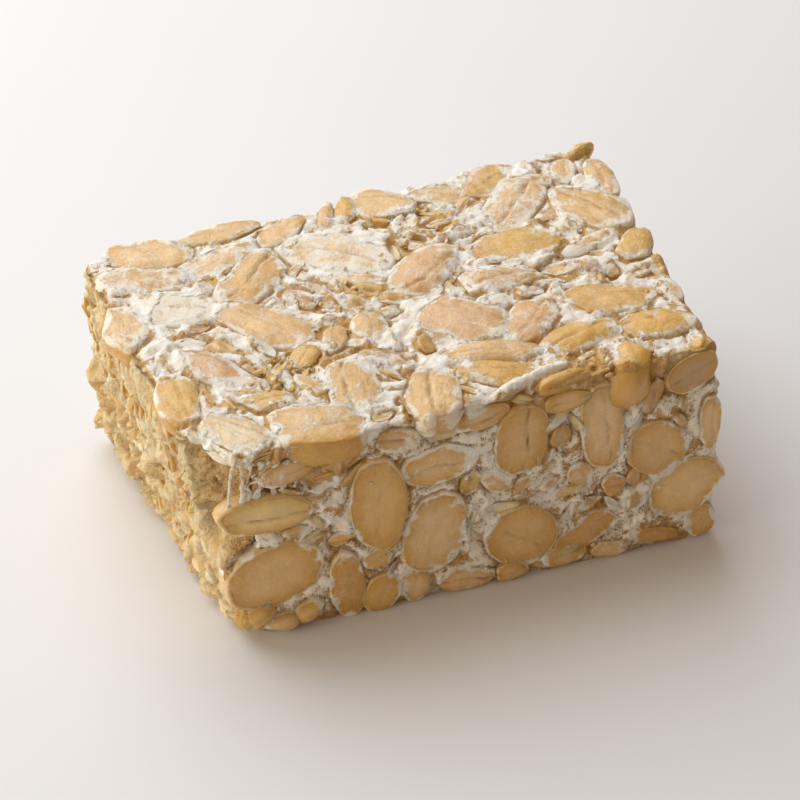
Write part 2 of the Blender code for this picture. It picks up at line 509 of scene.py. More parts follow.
@dataclass(frozen=True)
class Bean:
    """One bean or broken piece of bean in a face: where it lies, its visible outline and its looks.

    The outline is length by width in millimetres and turned anticlockwise from the face's right.
    Rise is how far it stands out, and dome how much of that it loses towards its outline. Split
    is the depth of the furrow between its two halves, and side how far that furrow is off the
    middle, in half widths. Chips is how many straight bites its outline has, and lean the most
    that its back slopes, as rise over run.
    """

    face: Face
    a: float
    b: float
    length: float
    width: float
    turn: float
    rise: float = 0.7
    tone: Tone = Tone.BEIGE
    frost: float = 0.3
    split: float = 0.25
    side: float = 0.0
    dome: float = 0.35
    chips: int = 2
    rough: float = 0.6
    sliced: bool = False
    seed: int = 0
    lean: float = 0.055

    @functools.cache
    def axes(self, block: Block) -> tuple[Array, Array, Array, Array]:
        """Where the bean's outline is centred, and its long, cross and outward directions."""
        place, right, up, out = block.on_face(self.face, self.a, self.b)
        angle = math.radians(self.turn)
        long = right * math.cos(angle) + up * math.sin(angle)
        return place, long, np.cross(out, long), out

    @functools.cache
    def bites(self) -> tuple[Array, Array]:
        """Where the straight bites are: their directions and their distances from the middle."""
        draw = np.random.default_rng(self.seed + 7)
        angle = draw.uniform(0.0, 2 * math.pi, self.chips)
        limits = draw.uniform(0.86 - 0.06 * self.chips, 0.98, self.chips)
        return np.stack([np.cos(angle), np.sin(angle)], axis=-1), limits

    def swell(self, u: Array, v: Array) -> Array:
        """How far the outline stands past the blunt ellipse in a direction: one plus a noise."""
        away = unit(np.stack([u, v, 0.0 * u], axis=-1)) + 3.7 * (self.seed % 89)
        swing = 0.8 if self.sliced else 1.1
        return 1.0 + swing * (0.10 * noise(away, 0.9, 6) + 0.05 * noise(away, 0.35, 7))

    def colour(self) -> Array:
        """The bean's own shade of its tone."""
        light, warm = np.random.default_rng(self.seed + 3).uniform(-1.0, 1.0, 2)
        shift = 1.0 + 0.06 * light + warm * np.array([0.01, -0.02, -0.10])
        return np.array(self.tone.value) * shift

    def cap(self, x: Array, y: Array, edge: Array) -> Array:
        """The sheet that ends the bean outwards: slightly domed, tilted and uneven.

        Args:
            x: place along the bean in millimetres.
            y: place across it.
            edge: share of the way to the outline.

        Returns:
            How far the sheet stands out of the face, in millimetres.
        """
        slope = np.random.default_rng(self.seed).uniform(-self.lean, self.lean, 2)
        sheet = self.rise * (1.0 - self.dome * np.minimum(edge, 1.3) ** 2.4)
        place = np.stack([x, y, 0.0 * x], axis=-1) + 31.0 * (self.seed % 97)
        uneven = 0.5 * noise(place, 3.6, 12) + 0.35 * noise(place, 1.5, 13)
        uneven += 0.15 * noise(place, 0.7, 14)
        return sheet + slope[0] * x + slope[1] * y + self.rough * 0.55 * uneven

    def outline(self, u: Array, v: Array) -> Array:
        """How far out a place is, at 1 on the outline.

        It is the largest of the blunt elliptical radius (|u|^e + |v|^e)^(1/e), with e the blunt
        exponent, and the distances past the bites.

        Args:
            u: place along the bean in half lengths.
            v: place across it in half widths.

        Returns:
            The share of the way to the outline.
        """
        share = (np.abs(u) ** BLUNT + np.abs(v) ** BLUNT) ** (1 / BLUNT) / self.swell(u, v)
        for direction, limit in zip(*self.bites()):
            share = np.maximum(share, (u * direction[0] + v * direction[1]) / limit)
        return share

    def under(self, points: Array, facing: Array, block: Block) -> tuple[Array, Array]:
        """How the bean lies under places near it.

        Args:
            points: places in the block's frame.
            facing: the plain block's outward directions there.
            block: the block that the bean sits in.

        Returns:
            Distance across the face from the bean's outline, negative inside it and far off
            for a place more than a few millimetres off the face, and how far the bean's sheet
            stands out past the place.
        """
        place, long, cross, out = self.axes(block)
        away = points - place
        x, y, off = away @ long, away @ cross, away @ out
        share = self.outline(x / (self.length / 2), y / (self.width / 2))
        same_face = (np.abs(off) < 2.5) & (facing @ out > 0.45)
        gap = np.where(same_face, (share - 1.0) * self.width / 2, NO_BEAN)
        return gap, self.cap(x, y, share) - off

    def grow(self, block: Block, rows: int, columns: int) -> tuple[Array, dict[str, Array]]:
        """The bean's surface: a blunt ellipsoid, bitten straight in places and capped.

        Rings run from end to end at -cos t with radius (1 - |s|^e)^(1/e), with e the blunt
        exponent. A ring's point is drawn in to the bitten outline. The cap is the smooth minimum
        of the ellipsoid and a slightly domed, tilted and uneven sheet, less the furrow. More
        columns lie on the outer half than on the buried one.

        Args:
            block: the block that the bean sits in.
            rows: rings from end to end.
            columns: points a ring.

        Returns:
            Places, shape (rows, columns, 3), and the per-point values that its material reads.
        """
        place, long, cross, out = self.axes(block)
        thick = max(self.width * 0.5, self.rise + 0.5)
        ring = np.linspace(0.0, math.pi, rows)[:, None]
        turn = np.linspace(0.0, 1.0, columns, endpoint=False)[None, :]
        outer = 0.74
        buried = math.pi + (turn - outer) / (1 - outer) * math.pi
        around = np.where(turn < outer, turn / outer * math.pi, buried)
        s = -np.cos(ring) + 0.0 * around
        r = np.clip(1.0 - np.abs(s) ** BLUNT, 0.0, 1.0) ** (1 / BLUNT)
        u, v, w = s, r * np.cos(around), r * np.sin(around)
        swell = self.swell(u, v)
        u, v = u * swell, v * swell
        for direction, limit in zip(*self.bites()):
            over = np.maximum(u * direction[0] + v * direction[1] - limit, 0.0)
            u, v = u - over * direction[0], v - over * direction[1]
        share = math.sqrt(1.0 - OUTLINE_DEPTH**2)
        x, y, z = self.length / 2 / share * u, self.width / 2 / share * v, thick * w
        edge = self.outline(u / share, v / share)
        furrow = self.furrow(x, y, z) * smoothstep(0.95, 0.70, np.abs(s)) * (z > 0)
        blend = 0.05
        cap = self.cap(x, y, edge)
        surface = -blend * np.logaddexp(-(z - thick * OUTLINE_DEPTH) / blend, -cap / blend)
        surface -= self.split * furrow
        flat = place + x[..., None] * long + y[..., None] * cross
        placed = flat + surface[..., None] * out
        local = np.stack([x, y, surface], axis=-1) + 9.0 * (self.seed % 97)
        looks = self.looks(block, placed, placed - surface[..., None] * out, edge)
        # Crease is the furrow's depth, by which the bean's finish paints shade in it.
        looks |= {"local": local, "crease": np.clip(furrow * min(1.0, self.split / 0.25), 0.0, 1.0)}
        return placed, looks

    def furrow(self, x: Array, y: Array, z: Array) -> Array:
        """How deep in the furrow between the bean's halves a point is, from 0 to about 1.

        It is exp(-(d / w)^2) of the distance d from a winding line, where the width w and the
        depth vary along the bean.

        Args:
            x: place along the bean in millimetres.
            y: place across it.
            z: height over its middle.

        Returns:
            The depths.
        """
        body = np.stack([x, y, z], axis=-1) + 31.0 * (self.seed % 97)
        along = body * [1, 0, 0]
        line = self.side * self.width / 2 + 0.8 * noise(along, 4.0, 9)
        line = line + 0.2 * noise(along, 0.9, 8)
        width = 0.16 + 0.06 * noise(along, 1.7, 10)
        broken = np.clip(0.6 + 1.3 * noise(along, 2.6, 11), 0.0, 1.3)
        return np.exp(-(((y - line) / width) ** 2)) * broken

    def looks(self, block: Block, placed: Array, flat: Array, edge: Array) -> dict[str, Array]:
        """Colour and mould at each point of the bean.

        Args:
            block: the block that the bean sits in.
            placed: the points.
            flat: the points without their height over the face.
            edge: share of the way to the outline.

        Returns:
            The values by name. Where the block's edge is bare the bean glows golden at its rim.
        """
        gap = (edge - 1.0) * self.width / 2
        flank = smoothstep(0.2, 1.1, block.height - placed[..., 2])
        brow = np.maximum(flank, smoothstep(-20.8, -22.3, placed[..., 1]))
        left_brow = smoothstep(-33.0, -36.0, placed[..., 0]) * flank
        bare = np.maximum(bare_share(placed) * brow, left_brow)
        glow = 0.65 * (bare * np.clip(edge, 0.0, 1.0) ** 2)[..., None]
        torn = veil_edge(flat, gap, self.frost, self.sliced) - 2.2 * bare
        creep = 0.85 if self.sliced else 0.45
        return {
            "tint": self.colour() * (1.0 - glow) + np.array(Tone.HONEY.value) * glow,
            "frost": self.frost + creep * smoothstep(-0.7, 0.1, torn) - 0.6 * bare,
            "rim": np.clip(edge, 0.0, 2.0),
            "sliced": np.full(edge.shape, float(self.sliced)),
        }


def close_ends(
    grid: Array, values: dict[str, Array]
) -> tuple[Array, list[Array], dict[str, Array]]:
    """Closes a tube-like grid: its first and last rows become one point each.

    Args:
        grid: places, shape (rows, columns, 3), whose end rows have shrunk to points.
        values: per-point values on the same grid.

    Returns:
        The flat points, the quads and end triangles, and the flat values.
    """
    rows, columns = grid.shape[:2]
    quads = grid_quads(rows - 2, columns, True)
    ring = np.arange(columns)
    after = (ring + 1) % columns
    first, last = (rows - 2) * columns, (rows - 2) * columns + 1
    start = np.stack([np.full(columns, first), after, ring], axis=-1)
    base = (rows - 3) * columns
    end = np.stack([np.full(columns, last), base + ring, base + after], axis=-1)

    def flatten(part: Array) -> Array:
        """The inner rows, then the two end points."""
        inner = part[1:-1].reshape(-1, *part.shape[2:])
        return np.concatenate([inner, part[:1, 0], part[-1:, 0]])

    flat = {name: flatten(value) for name, value in values.items()}
    return flatten(grid), [quads, np.concatenate([start, end])], flat


# Place, length, width, turn, rise, tone, frost, split, side, dome.
UPPER_BEANS = (
    (-28.0, 22.9, 11.5, 6.2, -22, 0.62, Tone.PALE, 0.30, 0.08, 0.3, 0.6),
    (-18.0, 24.2, 11.5, 3.8, 3, 0.81, Tone.PALE, 0.25, 0.08, 0.0, 0.65),
    (-30.5, 17.4, 12.5, 6.4, -12, 0.81, Tone.BEIGE, 0.50, 0.36, 0.1, 0.65),
    (-20.5, 18.1, 12.5, 4.6, 14, 0.71, Tone.PALE, 0.45, 0.28, 0.5, 0.65),
    (-17.0, 13.0, 13.2, 6.9, 41, 0.81, Tone.BEIGE, 0.30, 0.48, 0.05, 0.65),
    (-9.8, 21.5, 8.2, 4.0, 28, 0.62, Tone.PALE, 0.25, 0.04, 0.0, 0.75),
    (-4.8, 13.9, 15.0, 8.3, -38, 0.62, Tone.PALE, 0.60, 0.36, -0.05, 0.7),
    (-2.9, 22.7, 6.5, 2.1, 62, 0.91, Tone.PALE, 0.20, 0.04, 0.0, 0.8),
    (0.0, 23.1, 6.2, 2.8, 68, 1.1, Tone.GOLD, 0.10, 0.08, 0.0, 0.8),
    (5.1, 22.9, 9.6, 6.5, -31, 0.91, Tone.PALE, 0.30, 0.4, 0.35, 0.7),
    (13.0, 22.4, 7.2, 5.0, -20, 0.62, Tone.PALE, 0.40, 0.16, 0.0, 0.7),
    (21.0, 22.9, 9.5, 6.4, 19, 0.81, Tone.BEIGE, 0.25, 0.2, 0.0, 0.6),
    (22.0, 16.6, 14.0, 7.5, 40, 0.71, Tone.PALE, 0.50, 0.4, -0.1, 0.7),
    (31.0, 12.0, 13.0, 8.3, -60, 0.91, Tone.BEIGE, 0.30, 0.4, 0.15, 0.7),
    (35.9, 17.9, 8.8, 4.0, 82, 0.71, Tone.PALE, 0.25, 0.12, 0.0, 0.65),
    (31.8, 21.2, 5.5, 3.6, 70, 0.71, Tone.PALE, 0.35, 0.24, 0.0, 0.75),
    (18.3, 7.3, 12.5, 6.8, -14, 0.71, Tone.GOLD, 0.25, 0.08, -0.1, 0.65),
    (-36.0, 8.4, 9.8, 5.5, 84, 0.71, Tone.PALE, 0.40, 0.16, 0.0, 0.65),
    (-28.4, 9.8, 9.5, 7.0, -25, 0.43, Tone.CREAM, 0.65, 0.2, 0.0, 0.75),
    (-19.3, 2.6, 13.6, 7.4, -52, 0.71, Tone.PALE, 0.25, 0.12, 0.1, 0.65),
    (5.3, 6.4, 12.6, 7.0, 28, 1.3, Tone.ROSE, 0.30, 0.36, -0.3, 0.9),
    (13.1, 0.8, 11.0, 5.5, -3, 1.2, Tone.ROSE, 0.40, 0.48, -0.2, 0.8),
    (5.1, -5.5, 12.8, 9.0, -43, 1.2, Tone.ROSE, 0.32, 0.2, 0.3, 0.8),
    (13.5, -9.2, 10.6, 6.0, 41, 1, Tone.ROSE, 0.30, 0.28, -0.1, 0.75),
    (25.0, -8.5, 12.0, 6.5, -12, 0.71, Tone.BEIGE, 0.22, 0.096, 0.1, 0.65),
    (33.5, 1.4, 7.5, 4.1, 54, 0.91, Tone.GOLD, 0.20, 0.12, -0.2, 0.8),
    (33.4, -9.5, 5.0, 2.6, 89, 0.62, Tone.BEIGE, 0.30, 0.08, 0.0, 0.75),
    (28.0, 4.0, 9.0, 2.7, 15, 0.71, Tone.BEIGE, 0.40, 0.4, -0.2, 0.75),
    (-28.3, -4.0, 11.2, 5.0, -57, 0.91, Tone.ROSE, 0.40, 0.28, 0.4, 0.75),
    (-34.1, -8.7, 9.6, 5.5, 85, 0.71, Tone.GOLD, 0.15, 0.12, 0.0, 0.65),
    (-13.1, -14.4, 12.5, 6.3, 79, 0.91, Tone.BEIGE, 0.35, 0.36, 0.2, 0.7),
    (-20.2, -19.5, 12.5, 7.8, -8, 1, Tone.PALE, 0.30, 0.16, -0.2, 0.75),
    (-29.8, -17.9, 9.2, 6.0, -50, 0.62, Tone.CREAM, 0.22, 0.2, 0.3, 0.7),
    (-3.8, -18.8, 10.8, 6.5, 68, 0.91, Tone.PALE, 0.25, 0.56, 0.1, 0.65),
    (6.0, -14.0, 13.0, 4.7, -13, 1.4, Tone.PALE, 0.15, 0.24, 0.0, 0.9),
    (5.2, -18.2, 10.5, 5.2, -20, 1.2, Tone.GOLD, 0.12, 0.12, 0.1, 0.9),
    (18.2, -14.6, 10.6, 5.0, 12, 1.1, Tone.GOLD, 0.20, 0.28, 0.0, 0.85),
    (28.5, -15.8, 10.0, 5.4, -5, 1, Tone.GOLD, 0.20, 0.32, 0.2, 0.85),
    (22.8, -20.6, 5.0, 4.2, 80, 1.2, Tone.GOLD, 0.15, 0.08, 0.0, 0.9),
    (-16.4, -6.2, 5.0, 3.6, 48, 0.8, Tone.GOLD, 0.10, 0.10, 0.0, 0.5),
    (-11.6, -3.9, 5.2, 3.0, 60, 0.6, Tone.BEIGE, 0.25, 0.12, 0.0, 0.5),
    (-6.5, -3.2, 6.2, 4.6, 79, 0.91, Tone.BEIGE, 0.30, 0.32, 0.0, 0.75),
    (10.6, -3.7, 4.4, 3.0, -20, 0.81, Tone.CREAM, 0.60, 0.08, 0.0, 0.85),
    (35.6, 10.6, 5.0, 2.4, 80, 0.33, Tone.BROWN, 0.20, 0.08, 0.0, 0.7),
    (-24.0, -13.0, 6.8, 3.4, -10, 0.71, Tone.GOLD, 0.20, 0.32, 0.0, 0.7),
    (-12.5, 6.0, 5.4, 3.0, -55, 0.53, Tone.BROWN, 0.35, 0.4, 0.0, 0.7),
    (-5.0, 8.0, 8.6, 2.5, -30, 0.53, Tone.PALE, 0.40, 0.24, 0.0, 0.7),
    (-7.5, -10.0, 6.0, 2.6, -45, 0.62, Tone.BROWN, 0.25, 0.32, 0.0, 0.7),
    (8.6, -20.9, 11.0, 1.5, 14, 1.3, Tone.CREAM, 0.90, 0.0, 0.0, 0.5),
    (12.0, -22.3, 7.0, 2.0, 10, 1.2, Tone.BEIGE, 0.05, 0.1, 0.0, 0.6),
    # The orange chip, whose tone carries painted light.
    (36.1, 25.0, 4.8, 1.3, 18, 2.4, Tone.ORANGE, 0.0, 0.05, 0.0, 0.3),
)

# The same columns for the beans in the front that the knife went through.
CUT_BEANS = (
    (-26.8, 10.2, 12.4, 9.8, 13, 0.45, Tone.BEIGE, 0.05, 0.03, 0.1, 0.1),
    (-12.9, 17.7, 14.0, 7.1, 93, 0.33, Tone.GOLD, 0.05, 0.06, 0.0, 0.1),
    (-5.2, 10.9, 11.5, 8.2, 80, 0.33, Tone.PALE, 0.15, 0.09, 0.0, 0.1),
    (-4.5, 22.0, 9.6, 5.5, 5, 0.24, Tone.BEIGE, 0.35, 0.21, -0.1, 0.2),
    (6.5, 22.9, 10.3, 7.0, 86, 0.48, Tone.BEIGE, 0.10, 0.36, -0.1, 0.3),
    (17.8, 21.8, 13.0, 5.6, 96, 0.3, Tone.PALE, 0.15, 0.24, -0.1, 0.2),
    (21.5, 27.4, 6.6, 5.8, 70, 2.0, Tone.AMBER, 0.0, 0.06, 0.0, 0.9),
    (30.3, 26.9, 7.0, 5.4, 20, 0.33, Tone.BROWN, 0.25, 0.12, 0.0, 0.3),
    (25.5, 16.5, 8.4, 7.4, -30, 0.3, Tone.BEIGE, 0.15, 0.12, 0.0, 0.2),
    (30.0, 9.2, 10.5, 7.9, 25, 0.42, Tone.PALE, 0.12, 0.06, 0.0, 0.2),
    (33.2, 18.5, 7.5, 2.9, 88, 0.33, Tone.PALE, 0.15, 0.12, 0.0, 0.2),
    (6.8, 7.3, 10.4, 8.8, -42, 0.33, Tone.BEIGE, 0.10, 0.15, 0.0, 0.1),
    (15.6, 5.5, 8.2, 4.6, 30, 0.21, Tone.AMBER, 0.20, 0.03, 0.0, 0.3),
    (-17.1, 5.6, 10.6, 4.5, 95, 0.33, Tone.AMBER, 0.18, 0.09, 0.0, 0.5),
    (-27.6, 20.4, 11.5, 5.6, -4, 0.39, Tone.YELLOW, 0.05, 0.3, -0.2, 0.3),
    (-12.5, 2.9, 6.0, 4.8, 70, 0.54, Tone.GOLD, 0.10, 0.06, 0.0, 0.6),
    (-8.0, 2.8, 4.8, 3.8, 80, 0.44, Tone.PALE, 0.10, 0.06, 0.0, 0.6),
    (-1.0, 2.2, 7.6, 3.6, -6, 0.7, Tone.PALE, 0.15, 0.24, 0.0, 0.7),
    (-29.2, 3.6, 4.6, 3.6, 30, 1.0, Tone.GOLD, 0.0, 0.1, 0.0, 0.9),
    (-26.0, 1.9, 4.9, 3.0, -10, 1.1, Tone.PALE, 0.0, 0.1, 0.0, 0.9),
    (-22.4, 2.6, 4.2, 3.0, 20, 1.0, Tone.GOLD, 0.05, 0.1, 0.0, 0.9),
    (5.4, 1.6, 4.6, 2.6, 5, 0.8, Tone.GOLD, 0.05, 0.1, 0.0, 0.8),
    (19.2, 1.7, 4.8, 2.6, -6, 0.7, Tone.PALE, 0.05, 0.1, 0.0, 0.8),
    (-13.0, 9.0, 3.8, 3.0, 10, 0.24, Tone.GOLD, 0.20, 0.06, 0.0, 0.4),
    (19.6, 12.1, 3.2, 3.4, 0, 0.21, Tone.AMBER, 0.15, 0.3, 0.0, 0.4),
    (12.0, 21.8, 3.0, 2.4, 80, 0.24, Tone.BROWN, 0.15, 0.06, 0.0, 0.4),
    (15.0, 14.8, 4.0, 3.2, -55, 0.24, Tone.BEIGE, 0.35, 0.12, 0.0, 0.4),
    (12.2, 12.8, 8.0, 1.5, 3, 0.27, Tone.BEIGE, 0.35, 0.06, 0.0, 0.4),
    (3.0, 17.4, 5.0, 3.0, -50, 0.24, Tone.BEIGE, 0.40, 0.12, 0.0, 0.4),
    (-25.0, 26.4, 6.5, 3.2, 10, 0.27, Tone.ROSE, 0.45, 0.12, 0.0, 0.4),
    (-10.2, 27.3, 6.0, 3.2, -12, 0.33, Tone.ROSE, 0.25, 0.24, 0.0, 0.4),
    (32.0, 3.0, 4.4, 4.8, 20, 0.27, Tone.GOLD, 0.20, 0.06, 0.0, 0.4),
    (25.6, 2.2, 6.4, 2.2, -10, 0.21, Tone.AMBER, 0.20, 0.03, 0.0, 0.4),
    (12.8, 2.2, 6.0, 3.0, 0, 0.27, Tone.GOLD, 0.25, 0.18, 0.0, 0.4),
    (23.0, 8.6, 3.0, 2.4, 20, 0.24, Tone.BROWN, 0.20, 0.06, 0.0, 0.4),
    (1.2, 27.6, 7.0, 3.0, 8, 0.39, Tone.BEIGE, 0.20, 0.18, 0.0, 0.5),
    (13.0, 27.2, 6.0, 3.0, 6, 0.36, Tone.BEIGE, 0.25, 0.24, 0.0, 0.4),
)


def listed_beans(face: Face, rows: tuple, sliced: bool, rough: float) -> list[Bean]:
    """Bean objects out of a table, each with its own seed.

    Args:
        face: the face they lie in.
        rows: the table's rows.
        sliced: whether the knife went through them.
        rough: how uneven they are.

    Returns:
        The beans.
    """
    beans = []
    for seed, row in enumerate(rows):
        a, b, length, width, turn, rise, tone, frost, split, side, dome = row
        flush = (0.6 if rise < 1.0 else 1.0) if sliced else (0.45 if b > 19.5 else 0.72)
        looks = (rise * flush, tone, frost, split, side, dome)
        chips = (0 if length > 10.5 else 1) if sliced and length > 5 else 2
        size = (length * 1.04, width * 1.06)
        beans.append(Bean(face, a, b, *size, turn, *looks, chips, rough, sliced, seed + 1))
    return beans


@dataclass(frozen=True)
class BeanScatter:
    """Seeded beans or broken pieces on a face, which lie clear of each other and of the rest.

    Each is taken as three discs along its length, and crowd is how near two discs may come,
    as a share of their radii.
    """

    face: Face
    low: tuple[float, float]
    high: tuple[float, float]
    tries: int
    seed: int
    lengths: tuple[float, float] = (9.5, 13.0)
    slimness: tuple[float, float] = (0.5, 0.72)
    turns: tuple[float, float] = (0.0, 180.0)
    rise: tuple[float, float] = (0.3, 0.9)
    dome: tuple[float, float] = (0.1, 0.5)
    frost: tuple[float, float] = (0.1, 0.5)
    tones: tuple = (Tone.PALE, Tone.BEIGE, Tone.BEIGE, Tone.GOLD, Tone.ROSE, Tone.CREAM)
    chips: int = 2
    rough: float = 0.7
    crowd: float = 1.06
    sliced: bool = False
    lean: float = 0.06
    keep_out: tuple = (0.0, 0.0, 0.0, 0.0)
    inset: float = 0.0

    def discs(self, bean: Bean) -> Array:
        """Three discs along a bean: their places on the face and their radii, shape (3, 3)."""
        angle = math.radians(bean.turn)
        steps = np.array([-0.5, 0.0, 0.5]) * max(bean.length - bean.width, 0.0)
        spread = np.stack([steps * math.cos(angle), steps * math.sin(angle)], axis=-1)
        radii = np.full((3, 1), bean.width / 2)
        return np.concatenate([np.array([bean.a, bean.b]) + spread, radii], axis=-1)

    def on_block(self, discs: Array, block: Block) -> bool:
        """Whether all the discs lie within the face and clear of the part that is kept free.

        Args:
            discs: places and radii, shape (n, 3).
            block: the block.

        Returns:
            True if they do.
        """
        low_a, high_a, low_b, high_b = self.keep_out
        inside_a = (discs[:, 0] > low_a) & (discs[:, 0] < high_a)
        if np.any(inside_a & (discs[:, 1] > low_b) & (discs[:, 1] < high_b)):
            return False
        corners = [(a + r * i, b + r * j) for a, b, r in discs for i in (-1, 1) for j in (-1, 1)]
        reach = np.array(corners) * self.inset + np.repeat(discs[:, :2], 4, 0) * (1 - self.inset)
        shares = np.array([block.face_shares(self.face, a, b) for a, b in reach])
        return bool(np.all(np.abs(shares[:, self.face.free()] - 0.5) < 0.485))

    def beans(self, block: Block, taken: list[Bean]) -> list[Bean]:
        """Draws one after another and keeps those that lie clear.

        Args:
            block: the block that they sit in.
            taken: beans that are there already.

        Returns:
            The new ones.
        """
        draw = np.random.default_rng(self.seed)
        discs = [self.discs(bean) for bean in taken if bean.face is self.face]
        kept: list[Bean] = []
        for attempt in range(self.tries):
            late = attempt / self.tries
            span = draw.uniform() * (1.0 - 0.75 * late)
            a, b = draw.uniform(self.low, self.high)
            length = self.lengths[0] + (self.lengths[1] - self.lengths[0]) * span
            width = length * draw.uniform(*self.slimness)
            looks = [draw.uniform(*self.rise), self.tones[draw.integers(len(self.tones))]]
            looks += [draw.uniform(*self.frost), draw.uniform(0.0, 0.4), draw.uniform(-0.3, 0.3)]
            looks += [draw.uniform(*self.dome), self.chips, self.rough, self.sliced]
            turn, seed = draw.uniform(*self.turns), self.seed * 1000 + attempt
            bean = Bean(self.face, a, b, length, width, turn, *looks, seed, self.lean)
            own = self.discs(bean)
            if discs:
                there = np.concatenate(discs)
                apart = np.hypot(*(own[:, None, :2] - there[None, :, :2]).transpose(2, 0, 1))
                if np.any(apart < self.crowd * (own[:, None, 2] + there[None, :, 2])):
                    continue
            if self.on_block(own, block):
                discs.append(own)
                kept.append(bean)
        return kept


@dataclass(frozen=True)
class Patch:
    """A part of the upper face where broken bean shows instead of mould."""

    x: float
    y: float
    reach: float
    strength: float


CRUMB_PATCHES = (
    Patch(9.0, 16.0, 6.0, 0.75),
    Patch(-6.0, 4.5, 5.0, 0.7),
    Patch(-19.0, -8.5, 5.5, 0.8),
    Patch(-10.0, -4.0, 4.5, 0.5),
    Patch(-24.0, -13.0, 4.0, 0.8),
    Patch(14.0, -1.0, 5.0, 0.4),
    Patch(2.0, 12.0, 3.5, 0.6),
    Patch(16.0, -18.0, 6.0, 0.8),
    Patch(26.0, 9.5, 3.0, 0.4),
    Patch(-30.0, 23.0, 6.0, 0.4),
    Patch(-36.0, 16.0, 5.0, 0.5),
    Patch(-24.0, 15.0, 3.0, 0.5),
)


class Facing(NamedTuple):
    """How far each place of the skin belongs to a part of the block, as shares from 0 to 1.

    Up is the upper face, left the broken end, foot the underside, side all that stands between
    upper face and underside, cut the sides that a knife made, and low the lowest millimetres.
    """

    up: Array
    left: Array
    foot: Array
    low: Array
    side: Array
    cut: Array

    @classmethod
    def at(cls, places: Array, normals: Array) -> Facing:
        """The shares at some places, from the places and their outward directions."""
        up = smoothstep(0.35, 0.8, normals[:, 2])
        left = smoothstep(0.35, 0.8, -normals[:, 0])
        foot = smoothstep(-0.3, -0.8, normals[:, 2])
        side = np.clip(1.0 - up - foot, 0.0, 1.0)
        cut = np.clip(side - left, 0.0, 1.0)
        return cls(up, left, foot, smoothstep(3.5, 0.2, places[:, 2]), side, cut)


class Underlay(NamedTuple):
    """What the nearest bean does to each place of the skin.

    Gap is the distance from its outline, lift how far its sheet stands out, edge the distance
    from the veil's torn edge, over how much the skin lies on the bean, crevice how much of a slit
    runs beside it, and bare how bare of mould the place is.
    """

    gap: Array
    lift: Array
    tint: Array
    edge: Array
    over: Array
    crevice: Array
    bare: Array


class Felt(NamedTuple):
    """The mould's own folds at each place: a web of broad ridges, threads, fibres and wrinkles."""

    web: Array
    thread: Array
    fibre: Array
    wrinkle: Array

    @classmethod
    def at(cls, places: Array) -> Felt:
        """The folds at some places: creased billows of three sizes and a fine noise."""
        folded = warped(places, 5.0, 2.2, 31)
        web = 1.0 - billow(folded, 4.6, 41)
        thread = 1.0 - billow(folded, 2.0, 42)
        wrinkle = 1.0 - billow(folded * np.array([0.6, 1.5, 1.0]), 1.3, 45)
        return cls(web, thread, noise(folded, 0.95, 43), wrinkle)


class Flesh(NamedTuple):
    """Torn bean flesh at each place of the skin.

    A flat mask is 0 in the creases between flakes and 1 on them, and a tag holds a flake's three
    random shares. Crumbled is the relief of large and small flakes together, ball how far a
    place is from the middle of its lump, and upright how far it belongs to the upright slabs.
    """

    flat: Array
    small_flat: Array
    slab_flat: Array
    splinter_flat: Array
    tag: Array
    small_tag: Array
    slab_tag: Array
    crumbled: Array
    slab: Array
    splinter: Array
    small: Array
    ball: Array
    lump: Array
    upright: Array

    @classmethod
    def at(cls, places: Array) -> Flesh:
        """The flesh at some places.

        Slabs and splinters are flakes drawn out upwards. Lumps are round, each at its own height.
        """
        flake, flat, tag = flakes(warped(places, 2.4, 0.6, 51), 2.8, 61)
        small, small_flat, small_tag = flakes(warped(places, 1.2, 0.3, 52), 1.25, 62)
        crumbled = 0.75 * flake * flat + 0.38 * small * small_flat
        drawn_out = warped(places, 5.0, 1.2, 81) * np.array([0.5, 1.0, 0.26])
        slab, slab_flat, slab_tag = flakes(drawn_out, 2.6, 82)
        splinter, splinter_flat, _ = flakes(drawn_out, 1.0, 83)
        ball, _, lump_tag, _ = cells(warped(places, 4.0, 0.8, 84), 5.0, 85)
        lump = 1.4 * (lump_tag[:, 0] - 0.5) + 1.3 * (0.5 - ball**2)
        upright = smoothstep(13.0, 17.5, places[:, 2] + 2.5 * noise(places, 5.0, 86))
        flats = (flat, small_flat, slab_flat, splinter_flat)
        tags = (tag, small_tag, slab_tag)
        return cls(*flats, *tags, crumbled, slab, splinter, small, ball, lump, upright)


class SkinFields(NamedTuple):
    """All that shapes and colours the skin, before it moves.

    Patch is how much broken flesh shows instead of mould, torn how far the lip's tear has moved
    a place, corner how near the front left foot it is, and pit and hole are masks.
    """

    base: Array
    facing: Facing
    beans: Underlay
    felt: Felt
    flesh: Flesh
    patch: Array
    torn: Array
    corner: Array
    pit: Array
    hole: Array
    swirl: Array


